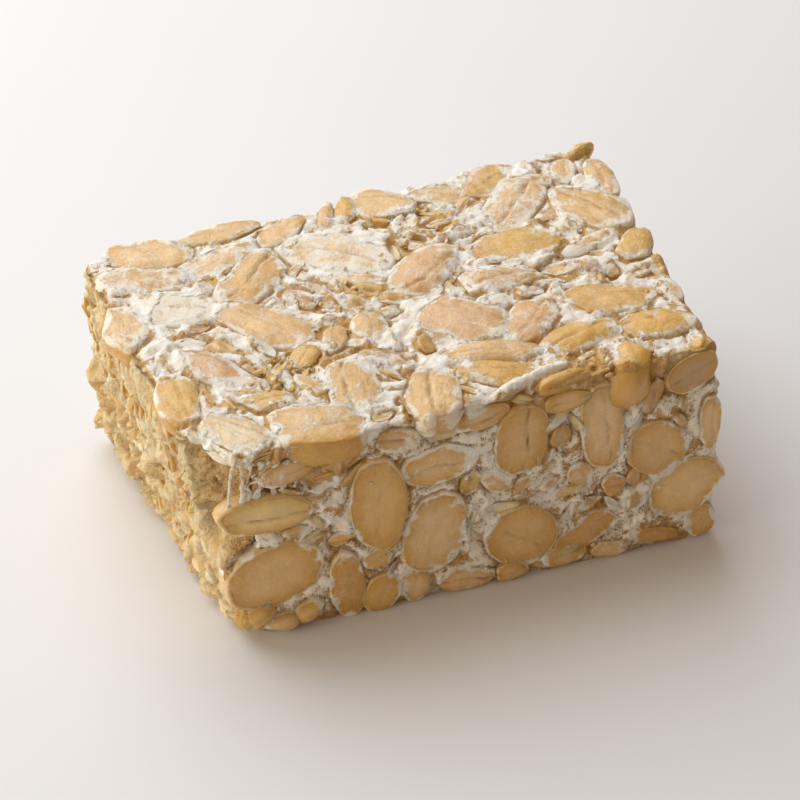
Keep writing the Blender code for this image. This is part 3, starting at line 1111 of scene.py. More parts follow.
@dataclass
class MouldSkin:
    """The cake's outer skin: a closed sheet over the block, folded, pitted and crumbled.

    Spacing is that of its grid. The lip is the line on the upper face, at the front left corner,
    past which the corner has broken away under the skin.
    """

    block: Block
    beans: list[Bean]
    spacing: float = 0.27
    rise_spacing: float = 0.30
    lip_start: tuple = (-37.3, -12.6)
    lip_end: tuple = (-30.6, -23.2)
    hollow_floor: float = 15.0
    hollow_push: float = 3.2

    def plain_shell(self) -> tuple[Array, Array, Array, Array]:
        """The closed grid over the plain box: a band round the sides, a top sheet and a flat foot.

        Returns:
            Points of the box, the band's quads, the top's quads and the foot's one polygon.
        """
        hx, hy, hz = self.block.half
        nx, ny = round(2 * hx / self.spacing), round(2 * hy / self.spacing)
        nz = round(2 * hz / self.rise_spacing)
        u, v = np.linspace(-hx, hx, nx + 1), np.linspace(-hy, hy, ny + 1)
        loop_x = np.concatenate([u[:-1], np.full(ny, hx), u[:0:-1], np.full(ny, -hx)])
        loop_y = np.concatenate([np.full(nx, -hy), v[:-1], np.full(nx, hy), v[:0:-1]])
        count = len(loop_x)
        radius = self.block.edge_radius
        insets = np.concatenate([radius * np.array([1.0, 0.66, 0.33]), np.zeros(nz)])
        heights = np.concatenate([np.full(3, -hz), np.linspace(-hz, hz, nz + 1)[:-1]])
        shrink_x, shrink_y = 1 - insets / hx, 1 - insets / hy
        band = np.stack(
            [
                loop_x[None, :] * shrink_x[:, None],
                loop_y[None, :] * shrink_y[:, None],
                np.broadcast_to(heights[:, None], (len(heights), count)),
            ],
            axis=-1,
        ).reshape(-1, 3)
        gx, gy = np.meshgrid(u, v, indexing="ij")
        sheet = np.stack([gx, gy, np.full_like(gx, hz)], axis=-1).reshape(-1, 3)
        start = len(band)
        number = start + np.arange((nx + 1) * (ny + 1)).reshape(nx + 1, ny + 1)
        rim = np.concatenate([number[:-1, 0], number[-1, :-1], number[:0:-1, -1], number[0, :0:-1]])
        rows = len(heights)
        quads = grid_quads(rows, count, True)
        last = (rows - 1) * count + np.arange(count)
        joint = np.stack([last, np.roll(last, -1), np.roll(rim, -1), rim], axis=-1)
        top = np.stack(
            [number[:-1, :-1], number[1:, :-1], number[1:, 1:], number[:-1, 1:]], axis=-1
        ).reshape(-1, 4)
        foot = np.arange(count)[::-1][None, :]
        return np.concatenate([band, sheet]), quads, np.concatenate([joint, top]), foot

    def bean_fields(self, points: Array, facing: Array) -> tuple[Array, Array, Array, Array]:
        """What lies under each place of the skin: the bean whose outline is nearest.

        Args:
            points: the skin's places.
            facing: its outward directions.

        Returns:
            The distance across the face from that bean's outline, how far its sheet stands out
            past the place, its colour and how mouldy it is.
        """
        gap = np.full(len(points), NO_BEAN)
        lift, frost = np.zeros(len(points)), np.zeros(len(points))
        tint = np.ones((len(points), 3)) * Tone.GOLD.value
        for bean in self.beans:
            middle = bean.axes(self.block)[0]
            reach = bean.length / 2 + 2.5
            near = np.flatnonzero(np.all(np.abs(points - middle) < reach, axis=-1))
            distance, stand = bean.under(points[near], facing[near], self.block)
            nearer = distance < gap[near]
            here = near[nearer]
            gap[here], lift[here] = distance[nearer], stand[nearer]
            tint[here], frost[here] = bean.colour(), bean.frost
        return gap, lift, tint, frost

    def tear_corner(self, points: Array) -> Array:
        """Breaks the front left corner away under a thin overhanging lip.

        Points past the lip's line move back onto it, and below the lip they move further in, by
        a push that starts just under the skin and ends at the hollow's floor.

        Args:
            points: the skin's places.

        Returns:
            The moved places.
        """
        start, end = np.array(self.lip_start), np.array(self.lip_end)
        along = (end - start) / np.linalg.norm(end - start)
        outward = np.array([along[1], -along[0]])
        if outward @ np.array([-1.0, -1.0]) < 0:
            outward = -outward
        wobble = 0.8 * noise(points, 3.4, 301) + 0.35 * noise(points, 1.1, 302)
        past = (points[:, :2] - start) @ outward + wobble
        z = points[:, 2]
        floor = self.hollow_floor + 2.2 * noise(points, 5.0, 303)
        high = smoothstep(floor - 1.5, floor + 2.5, z)
        beyond = np.maximum(past, 0.0) * high
        drop = 0.55 * beyond * smoothstep(self.block.height - 9.0, self.block.height, z)
        lowered = z - drop
        under = self.block.height - lowered
        near = smoothstep(-2.2, 0.6, past)
        push = self.hollow_push * smoothstep(0.7, 3.2, under) * high * near
        push *= 1.0 + 0.5 * noise(points, 3.0, 304)
        moved = points.copy()
        moved[:, :2] -= outward * (beyond + push)[:, None]
        moved[:, 2] = lowered
        return moved

    def round_corner(self, points: Array) -> Array:
        """Rounds the front left upright edge near the foot: squares about its axis become circles.

        Args:
            points: the skin's places.

        Returns:
            The moved places.
        """
        height = points[:, 2]
        radius = 1.3 + 3.2 * smoothstep(9.0, 3.0, height + 1.5 * noise(points, 4.0, 311))
        share = np.clip(height / self.block.height, 0.0, 1.0)[:, None]
        corner = np.array(self.block.foot[0]) * (1 - share) + np.array(self.block.top[0]) * share
        away = points[:, :2] - corner - radius[:, None]
        inside = np.all(away < 0.0, axis=-1) & (height < 12.0)
        length = np.maximum(np.linalg.norm(away, axis=-1), 1e-6)
        scale = np.where(inside, np.max(np.abs(away), axis=-1) / length, 1.0)
        moved = points.copy()
        moved[:, :2] += away * (scale - 1.0)[:, None]
        return moved

    def over_beans(self, base: Array, normal: Array, facing: Facing, swirl: Array) -> Underlay:
        """How the beans shape the skin over and beside them.

        Args:
            base: the skin's places.
            normal: its outward directions.
            facing: what part of the block each place belongs to.
            swirl: a noise that varies how far the skin sags beside a bean.

        Returns:
            The beans' effect on each place.
        """
        gap, lift, tint, frost = self.bean_fields(base, normal)
        bare = bare_share(base) * np.clip(1.0 - normal[:, 2] ** 4, 0.0, 1.0)
        bare = np.maximum(bare, smoothstep(0.02, 0.45, np.abs(normal[:, 0])) * facing.up)
        edge = veil_edge(base, gap, frost, facing.side + 0.8 * facing.left) - 2.2 * bare
        over = np.exp(-np.maximum(gap, 0.0) / np.clip(0.60 + 0.45 * swirl, 0.18, 1.2))
        over = np.where(gap < NO_BEAN / 2, over, 0.0)
        opening = 0.32 - noise(base, 3.6, 32) - 0.4 * noise(base, 1.3, 33)
        crevice = smoothstep(0.10, 0.45, opening) * np.exp(-(((gap - 0.25) / 0.32) ** 2))
        return Underlay(gap, lift, tint, edge, over, crevice, bare)

    def patches(self, base: Array, facing: Facing, bare: Array) -> Array:
        """How much broken flesh shows instead of mould.

        Args:
            base: the skin's places.
            facing: what part of the block each place belongs to.
            bare: how bare of mould it is.

        Returns:
            Shares from 0 to about 1: the listed patches and a noise on the upper face, and a
            noise that grows towards the floor on the cut sides.
        """
        patch = np.zeros(len(base))
        for spot in CRUMB_PATCHES:
            away = np.hypot(base[:, 0] - spot.x, base[:, 1] - spot.y)
            strength = spot.strength * smoothstep(spot.reach, 0.3 * spot.reach, away)
            patch = np.maximum(patch, strength)
        patch = facing.up * np.clip(1.2 * patch + 0.8 * noise(base, 3.0, 71) + 0.06, 0.0, 1.0)
        lower = noise(base, 4.0, 72) + 0.6 * facing.low - 0.02
        patch += facing.cut * smoothstep(-0.25, 0.25, lower)
        return np.maximum(patch, 0.9 * bare)

    def pits(self, base: Array, side: Array, gap: Array) -> tuple[Array, Array]:
        """Masks of the small pits in the sides and of the deep holes, both clear of the beans.

        Args:
            base: the skin's places.
            side: how far each belongs to a side.
            gap: its distance from the nearest bean.

        Returns:
            The pits and the holes: the middles of some scattered cells.
        """
        clear = smoothstep(0.2, 0.6, gap)
        near, _, tag, _ = cells(base, 1.7, 101)
        pit = smoothstep(0.26, 0.10, near) * (tag[:, 2] > 0.66) * side * clear
        near, _, tag, _ = cells(warped(base, 2.0, 0.8, 111), 5.2, 112)
        return pit, smoothstep(0.24, 0.10, near) * (tag[:, 0] > 0.5) * clear

    def relief(self, skin: SkinFields) -> Array:
        """How far the skin between the beans stands out, in millimetres.

        The upper and cut faces have ridges, threads and fibres, and flakes where flesh shows. The
        broken end has upright slabs and splinters above and lumps below.

        Args:
            skin: the skin's fields.

        Returns:
            The heights.
        """
        up, left, _, low, _, cut = skin.facing
        web, thread, fibre, _ = skin.felt
        flesh = skin.flesh
        end = 1.6 * flesh.slab * flesh.slab_flat + 1.2 * flesh.splinter * flesh.splinter_flat
        end = flesh.upright * (end + 0.5 * flesh.small * flesh.small_flat - 0.4)
        end += (1.0 - flesh.upright) * (1.7 * flesh.lump + 1.0 * flesh.crumbled)
        end *= 1.0 - 0.4 * low
        relief = up * (0.34 * (web - 0.60) + 0.15 * (thread - 0.60) + 0.05)
        relief += cut * (0.16 * (web - 0.6) + 0.12 * (thread - 0.5) + 0.05)
        relief += (up + 1.4 * cut) * skin.patch * flesh.crumbled + left * end
        relief += 0.05 * fibre * (1.0 - left)
        relief += (1.0 - up) * skin.torn * (2.2 * flesh.crumbled + 0.8 * flesh.lump)
        foot_lumps = 0.9 * flesh.crumbled + 0.7 * flesh.lump
        return relief + (1.0 - up) * skin.corner * (1.0 - 0.7 * low) * foot_lumps

    def moved(self, skin: SkinFields, relief: Array, normal: Array, torn_base: Array) -> Array:
        """The skin's places after they have moved along their normals.

        Args:
            skin: the skin's fields.
            relief: how far it stands out between the beans.
            normal: its outward directions.
            torn_base: its places after the corner has been torn.

        Returns:
            The places. Those near the floor are tucked in.
        """
        base, facing, beans = skin.base, skin.facing, skin.beans
        up, left, foot, low, side, cut = facing
        flesh, over = skin.flesh, beans.over
        sheet = beans.lift + 0.34 * smoothstep(-0.12, 0.12, beans.edge) - 0.24
        height = over * np.clip(sheet, -1.2, 2.4) + (1.0 - over) * relief - 0.42 * beans.crevice
        height -= 0.5 * skin.pit + 0.9 * skin.hole * (0.4 + 0.6 * up + left)
        draped = np.clip(up + 0.5 * cut, 0.0, 1.0) * smoothstep(-0.3, 0.2, beans.edge)
        height += 0.13 * (skin.felt.wrinkle - 0.6) * draped
        wave = 0.35 * noise(base, 13.0, 121) + 0.25 * noise(base, 6.0, 122)
        wave += side * low * (1.1 * noise(base, 4.6, 123) + 0.25 * noise(base, 1.6, 124) - 0.5)
        move = (height + wave * np.where(over > 0.9, 0.0, 1.0 - over)) * (1.0 - foot)
        points = torn_base + normal * move[:, None]
        flat_half = np.array(self.block.half[:2]) - 5.0
        outward = unit(points[:, :2] - np.clip(points[:, :2], -flat_half, flat_half))
        tucked = smoothstep(1.2, 0.0, base[:, 2]) * (0.8 + 0.9 * noise(base, 4.2, 125))
        points[:, :2] -= outward * tucked[:, None]
        return points

    def values(self, skin: SkinFields, relief: Array) -> dict[str, Array]:
        """The per-point values that the skin's material reads.

        Cavity is how deep in a fold, pit, crease or hollow a place lies, by which the skin's finish
        paints shade there, and mould how much of it the white covers. Tint is the flesh's colour
        under it.

        Args:
            skin: the skin's fields.
            relief: how far it stands out between the beans.

        Returns:
            The values by name.
        """
        base, beans, felt, flesh = skin.base, skin.beans, skin.felt, skin.flesh
        up, left, _, _, side, cut = skin.facing
        patch, torn, over, upright = skin.patch, skin.torn, beans.over, flesh.upright
        wide_gaps = np.maximum(1.0 - flesh.flat, 0.6 * (1.0 - flesh.small_flat))
        creases = np.maximum(1.0 - flesh.flat, 0.7 * (1.0 - flesh.small_flat))
        creases = creases * np.maximum(patch, torn)
        # Cavity gathers the low places, holes, pits, creases between flakes and crevices beside
        # beans; the skin's finish paints shade by it.
        cavity = np.clip(0.05 - 1.1 * relief * (1.0 - left), 0.0, 1.0)
        depths = [cavity, skin.hole, 0.9 * skin.pit, 0.7 * creases, 0.9 * beans.crevice]
        cavity = np.maximum.reduce(depths)
        # The gaps between the broken end's slabs and lumps count as cavity too, for painted shade.
        slab_gap = np.maximum(1.0 - flesh.slab_flat, 0.6 * (1.0 - flesh.splinter_flat)) * upright
        slab_gap += (1.0 - upright) * wide_gaps
        cavity = np.maximum(cavity, left * 0.45 * slab_gap)
        # Painted shade in the hollow under the torn lip, through the cavity.
        hollow = np.clip(0.85 + 0.5 * skin.swirl, 0.0, 1.0) * torn * (1.0 - up)
        cavity = np.maximum(cavity, hollow)

        mould = 0.92 - 0.07 * up - (0.75 - 0.25 * cut) * patch
        mould += 0.5 * patch * (flesh.tag[:, 2] - 0.4)
        mould -= left * (0.80 + 0.5 * (flesh.slab_tag[:, 2] - 0.5))
        mould -= 0.6 * np.maximum(torn * (1.0 - up), skin.corner) + 0.75 * beans.bare
        mould -= 0.50 * side * smoothstep(6.0, 2.0, base[:, 2] + 2.0 * skin.swirl)
        cloud = 0.45 * noise(base, 4.5, 131) + 0.30 * noise(base, 2.0, 132)
        mould += cloud * (1.0 - 0.5 * left)
        mould += cut * (0.7 * (felt.web - 0.7) + 0.6 * (felt.thread - 0.65) + 0.06)
        mould = mould * (1.0 - over) + over * (0.55 + 0.22 * cut + 0.5 * beans.edge)
        # Less white in the cavities, where the flesh shows with its painted shade.
        mould = np.clip(mould - 0.55 * cavity, 0.0, 1.0)

        tones = np.array([tone.value for tone in (Tone.PALE, Tone.GOLD, Tone.ROSE, Tone.CREAM)])
        tint = tones[np.minimum((flesh.tag[:, 1] * 4).astype(int), 3)]
        tint = tint * (0.92 + 0.16 * flesh.small_tag[:, :1])
        pale = (left * (0.60 + 0.40 * upright))[:, None]
        straw = pale * Tone.STRAW.value * (0.92 + 0.14 * flesh.slab_tag[:, 1:2])
        tint = tint * (1.0 - pale) + straw
        seam = (0.6 * left * (1.0 - upright) * smoothstep(0.40, 0.75, flesh.ball))[:, None]
        tint = tint * (1.0 - seam) + np.array(Tone.HONEY.value) * seam
        tint = tint * (1.0 - over[:, None]) + beans.tint * over[:, None]
        return {
            "mould": mould,
            "cavity": cavity,
            "tint": tint,
            "upright": left * upright * (1.0 - torn),
            "webbed": cut * (1.0 - beans.bare) * (1.0 - skin.corner),
        }

    def build(self) -> dict[str, Surface]:
        """Works out the skin as two sheets that share their border.

        The plain shell is torn at one corner, then moved along its normals. Over a bean it lies
        on the bean's sheet, just above it under the veil and just below where the veil is torn,
        and past the outline it sinks back to the folds between the beans.

        Returns:
            The upper sheet and the band round the sides with the foot.
        """
        box, band, upper, foot_ring = self.plain_shell()
        shares = self.block.rounded(box) / (2 * np.array(self.block.half)) + 0.5
        normal = face_normals(self.block.place(shares), np.concatenate([band, upper]))
        base = self.round_corner(self.block.place(shares))
        facing = Facing.at(base, normal)
        swirl = noise(base, 3.2, 31)
        beans = self.over_beans(base, normal, facing, swirl)
        torn_base = self.tear_corner(base)
        torn = smoothstep(0.6, 2.2, np.linalg.norm(torn_base - base, axis=-1))
        corner = smoothstep(-26.0, -31.0, base[:, 0]) * smoothstep(9.0, 5.0, base[:, 2])
        patch = self.patches(base, facing, beans.bare)
        pit, hole = self.pits(base, facing.side, beans.gap)
        broken = (patch, torn, corner * facing.side, pit, hole, swirl)
        flesh = Flesh.at(base)
        skin = SkinFields(base, facing, beans, Felt.at(base), flesh, *broken)
        relief = self.relief(skin)
        points = self.moved(skin, relief, normal, torn_base)
        brink = smoothstep(2.8, 0.2, shares[:, 0] * 2 * self.block.half[0]) * (1.0 - facing.left)
        jagged = 1.3 * flesh.slab * flesh.slab_flat + 0.5 * flesh.splinter * flesh.splinter_flat
        points[:, 0] -= brink * jagged
        points[:, 2] = np.where(facing.foot > 0.5, 0.0, np.maximum(points[:, 2], 0.0))
        values = self.values(skin, relief)
        sheets = {"mould_top": [upper], "mould_sides": [band, foot_ring]}
        return {name: self.cut_out(points, parts, values) for name, parts in sheets.items()}

    def cut_out(self, points: Array, polygons: list[Array], values: dict[str, Array]) -> Surface:
        """The part of the skin that some polygons cover, as a surface of its own.

        Args:
            points: all the skin's places.
            polygons: the part's polygons.
            values: all the skin's per-point values.

        Returns:
            The surface.
        """
        used = np.unique(np.concatenate([part.ravel() for part in polygons]))
        number = np.zeros(len(points), int)
        number[used] = np.arange(len(used))
        surface = Surface()
        own = {name: value[used] for name, value in values.items()}
        surface.add(points[used], [number[part] for part in polygons], **own)
        return surface


# Where each thread under the torn lip starts and ends in the front: X, Z, X, Z, then thickness.
LIP_THREADS = (
    (-31.6, 29.8, -32.6, 20.8, 0.34),
    (-30.6, 30.0, -30.4, 22.4, 0.55),
    (-29.4, 29.6, -30.0, 22.8, 0.36),
    (-28.2, 29.4, -28.8, 22.8, 0.55),
    (-27.0, 29.2, -29.2, 23.2, 0.34),
    (-26.2, 29.0, -26.6, 22.6, 0.62),
    (-24.8, 28.6, -25.2, 22.2, 0.48),
    (-23.6, 28.4, -25.8, 23.4, 0.40),
    (-28.6, 26.2, -26.2, 25.0, 0.32),
    (-30.4, 25.6, -28.4, 26.0, 0.30),
)


@dataclass(frozen=True)
class WebThreads:
    """Threads of mould that stretch across the hollow under the lip."""

    block: Block
    rows: int = 22
    columns: int = 9

    def build(self) -> Surface:
        """Makes each thread: a tube along a bent path, thick at its ends and thin between them.

        Returns:
            All the threads, each a closed shape.
        """
        surface = Surface()
        along = np.linspace(0.0, 1.0, self.rows)[:, None]
        around = np.linspace(0.0, 2 * math.pi, self.columns, endpoint=False)[None, :]
        for number, (x, z, end_x, end_z, thick) in enumerate(LIP_THREADS):
            start = self.block.on_face(Face.FRONT, x, z)[0]
            end, right, up, out = self.block.on_face(Face.FRONT, end_x, end_z)
            path = start * (1 - along) + end * along
            bend = np.sin(math.pi * along)
            shake = np.concatenate([along * 4.0, 0.0 * along, 0.0 * along + 7.3 * number], axis=-1)
            swerve = 0.6 * bend * noise(shake, 1.0, 401)[:, None]
            path = path + out * (0.05 - 0.45 * bend - 0.40 * along**4) + right * swerve
            taper = 0.55 + 1.0 * (2 * along - 1.0) ** 4
            closed = np.sqrt(np.clip(1.0 - (2 * along - 1.0) ** 20, 0.0, 1.0))
            radius = thick * taper * closed * (1.0 + 0.3 * noise(shake, 0.3, 402)[:, None])
            across = unit(np.cross(end - start, out))
            ring = across * np.cos(around)[..., None] + out * np.sin(around)[..., None] * 0.5
            grid = path[:, None, :] + radius[..., None] * ring
            looks = {"mould": 0.6, "cavity": 0.0, "tint": Tone.CREAM.value}
            values = even_values(grid, **looks, upright=0.0, webbed=0.0)
            points, polygons, flat = close_ends(grid, values)
            surface.add(points, polygons, **flat)
        return surface


# Crumbs


@dataclass(frozen=True)
class CrumbScatter:
    """Loose-looking crumbs of broken bean, stuck to one face.

    Sizes are the smallest and largest crumb in millimetres, and sink is the share of a crumb
    that is buried.
    """

    face: Face
    count: int
    low: tuple[float, float]
    high: tuple[float, float]
    sizes: tuple[float, float]
    seed: int
    sink: float = 0.3
    rows: int = 8
    columns: int = 10

    def build(self, surface: Surface, block: Block, beans: list[Bean]) -> None:
        """Adds the crumbs: balls stretched three ways and chipped flat by a few random planes.

        Args:
            surface: takes each crumb as a closed shape.
            block: the block whose face they lie on.
            beans: the beans of that face, whose middles stay clear.
        """
        draw = np.random.default_rng(self.seed)
        ring = np.linspace(0.0, math.pi, self.rows)[:, None]
        around = np.linspace(0.0, 2 * math.pi, self.columns, endpoint=False)[None, :]
        ball = np.stack(
            [
                np.sin(ring) * np.cos(around),
                np.sin(ring) * np.sin(around),
                -np.cos(ring) + 0.0 * around,
            ],
            axis=-1,
        )
        choice = (Tone.PALE, Tone.BEIGE, Tone.GOLD, Tone.CREAM, Tone.ROSE)
        tones = np.array([tone.value for tone in choice])
        for _ in range(self.count):
            a, b = draw.uniform(self.low, self.high)
            size = self.sizes[0] * (self.sizes[1] / self.sizes[0]) ** (draw.uniform() ** 1.6)
            stretch = size / 2 * draw.uniform([0.7, 0.5, 0.35], [1.3, 0.9, 0.7])
            planes = unit(draw.normal(size=(7, 3)))
            cuts = draw.uniform(0.45, 0.85, size=7)
            turns = np.linalg.qr(draw.normal(size=(3, 3)))[0]
            if np.linalg.det(turns) < 0:
                turns[:, 0] *= -1
            tone = tones[draw.integers(len(tones))] * draw.uniform(0.85, 1.1)
            frost = draw.uniform(0.0, 0.5)
            place, right, up, out = block.on_face(self.face, a, b)
            apart = [math.hypot(a - k.a, b - k.b) - 0.42 * k.width for k in beans if k.length > 5]
            if min(apart, default=9.0) < 0.0:
                continue
            chipped = ball.copy()
            for plane, limit in zip(planes, cuts):
                over = np.maximum(chipped @ plane - limit, 0.0)
                chipped = chipped - over[..., None] * plane
            shape = (chipped * stretch) @ turns.T
            lift = size * (0.25 - self.sink)
            grid = place + shape @ np.stack([right, up, out]) + out * lift
            grid[..., 2] = np.maximum(grid[..., 2], 0.0)
            values = even_values(grid, tint=tone, frost=frost, rim=0.0, sliced=0.0, crease=0.0)
            values["local"] = grid.copy()
            points, polygons, flat = close_ends(grid, values)
            surface.add(points, polygons, **flat)


# Finishes

PLACE_MM = "Place mm"


@dataclass(frozen=True)
class Wire:
    """A node's output, of which sums can be made: each operator adds a Math node."""

    graph: Graph
    socket: bpy.types.NodeSocket

    def __mul__(self, other: object) -> Wire:
        """The product."""
        return self.graph.math("MULTIPLY", self, other)

    def __add__(self, other: object) -> Wire:
        """The sum."""
        return self.graph.math("ADD", self, other)

    def __radd__(self, other: float) -> Wire:
        """The sum of a number and the wire."""
        return self.graph.math("ADD", other, self)

    def __sub__(self, other: object) -> Wire:
        """The wire less something."""
        return self.graph.math("SUBTRACT", self, other)

    def __rsub__(self, other: float) -> Wire:
        """A number less the wire."""
        return self.graph.math("SUBTRACT", other, self)


@dataclass
class Graph:
    """A node tree with short ways to add the nodes that these finishes use."""

    tree: bpy.types.NodeTree

    def node(self, kind: str, **settings: object) -> bpy.types.Node:
        """Adds a node and sets its properties."""
        made = self.tree.nodes.new(kind)
        for name, value in settings.items():
            setattr(made, name, value)
        return made

    def feed(self, target: bpy.types.NodeSocket, value: object) -> None:
        """Links a wire into a socket, or sets it to a number or colour."""
        if isinstance(value, Wire):
            self.tree.links.new(value.socket, target)
        else:
            target.default_value = value

    def math(self, operation: str, a: object, b: object = 0.0) -> Wire:
        """The result socket of a Math node on two sockets or numbers."""
        made = self.node("ShaderNodeMath", operation=operation)
        self.feed(made.inputs[0], a)
        self.feed(made.inputs[1], b)
        return Wire(self, made.outputs[0])

    def mix(self, factor: object, a: object, b: object, blend: str = "MIX") -> Wire:
        """The result socket of a colour Mix node."""
        made = self.node("ShaderNodeMix", data_type="RGBA", blend_type=blend)
        self.feed(made.inputs["Factor"], factor)
        self.feed(made.inputs[6], a)
        self.feed(made.inputs[7], b)
        return Wire(self, made.outputs[2])

    def step(self, value: object, low: object, high: object) -> Wire:
        """A Map Range node that rises smoothly from 0 at low to 1 at high."""
        made = self.node("ShaderNodeMapRange", interpolation_type="SMOOTHSTEP")
        self.feed(made.inputs["Value"], value)
        self.feed(made.inputs["From Min"], low)
        self.feed(made.inputs["From Max"], high)
        return Wire(self, made.outputs["Result"])

    def attribute(self, name: str, output: str = "Fac") -> Wire:
        """The value of a per-point attribute."""
        made = self.node("ShaderNodeAttribute", attribute_name=name)
        return Wire(self, made.outputs[output])

    def noise(self, place: object, scale: float, detail: float, distortion: float = 0.0) -> Wire:
        """The value socket of a 3D Noise node."""
        made = self.node("ShaderNodeTexNoise")
        self.feed(made.inputs["Vector"], place)
        made.inputs["Scale"].default_value = scale
        made.inputs["Detail"].default_value = detail
        made.inputs["Roughness"].default_value = 0.6
        made.inputs["Distortion"].default_value = distortion
        return Wire(self, made.outputs["Fac"])

    def torn(self, place: object, scale: float, detail: float, reach: float) -> Wire:
        """The place plus reach times a noise's colour, so that a pattern there looks torn."""
        bent = self.node("ShaderNodeTexNoise")
        self.feed(bent.inputs["Vector"], place)
        bent.inputs["Scale"].default_value = scale
        bent.inputs["Detail"].default_value = detail
        moved = self.node("ShaderNodeVectorMath", operation="MULTIPLY_ADD")
        self.tree.links.new(bent.outputs["Color"], moved.inputs[0])
        moved.inputs[1].default_value = (reach, reach, reach)
        self.feed(moved.inputs[2], place)
        return Wire(self, moved.outputs[0])

    def cells(self, place: object, scale: float, feature: str) -> dict[str, Wire]:
        """The outputs of a 3D Voronoi node by name."""
        made = self.node("ShaderNodeTexVoronoi", feature=feature)
        self.feed(made.inputs["Vector"], place)
        made.inputs["Scale"].default_value = scale
        return {socket.name: Wire(self, socket) for socket in made.outputs}

    def stretched(self, place: object, by: object) -> Wire:
        """The place times three factors, given as numbers or as a socket."""
        made = self.node("ShaderNodeVectorMath", operation="MULTIPLY")
        self.feed(made.inputs[0], place)
        self.feed(made.inputs[1], by)
        return Wire(self, made.outputs[0])

    def between(self, share: object, low: float, high: float) -> Wire:
        """A Map Range node that runs from low to high as the share runs from 0 to 1."""
        made = self.node("ShaderNodeMapRange")
        self.feed(made.inputs["Value"], share)
        made.inputs["To Min"].default_value = low
        made.inputs["To Max"].default_value = high
        return Wire(self, made.outputs["Result"])

    def bump(self, height: object, strength: float, distance: float) -> Wire:
        """The normal of a Bump node over a height, whose unit is the distance in metres."""
        made = self.node("ShaderNodeBump")
        made.inputs["Strength"].default_value = strength
        made.inputs["Distance"].default_value = distance
        self.feed(made.inputs["Height"], height)
        return Wire(self, made.outputs["Normal"])

    def group(self, tree: bpy.types.NodeTree, **inputs: object) -> dict[str, Wire]:
        """Places a node group, feeds its inputs by name, and returns its outputs by name.

        A space in an input's name is written as an underscore.
        """
        made = self.node("ShaderNodeGroup", node_tree=tree)
        for name, value in inputs.items():
            self.feed(made.inputs[name.replace("_", " ")], value)
        return {socket.name: Wire(self, socket) for socket in made.outputs}

    def given(self, name: str) -> Wire:
        """An input of the group that this graph is."""
        return Wire(self, self.tree.nodes["in"].outputs[name])

    def give(self, name: str, value: Wire) -> None:
        """Feeds an output of the group that this graph is."""
        self.feed(self.tree.nodes["out"].inputs[name], value)


def group_tree(name: str, inputs: dict[str, object], outputs: tuple[str, ...]) -> Graph:
    """A new shader node group, whose first input is a place in millimetres.

    Args:
        name: the group's name.
        inputs: the other inputs' starting values: numbers or colours.
        outputs: the outputs' names. Colour is a colour and the others are numbers.

    Returns:
        The group's graph, with its input and output nodes named "in" and "out".
    """
    tree = bpy.data.node_groups.new(name, "ShaderNodeTree")
    tree.interface.new_socket(PLACE_MM, in_out="INPUT", socket_type="NodeSocketVector")
    for socket, value in inputs.items():
        kind = "NodeSocketColor" if isinstance(value, tuple) else "NodeSocketFloat"
        made = tree.interface.new_socket(socket, in_out="INPUT", socket_type=kind)
        made.default_value = value
    for socket in outputs:
        kind = "NodeSocketColor" if socket == "Colour" else "NodeSocketFloat"
        tree.interface.new_socket(socket, in_out="OUTPUT", socket_type=kind)
    graph = Graph(tree)
    graph.node("NodeGroupInput", name="in")
    graph.node("NodeGroupOutput", name="out")
    return graph


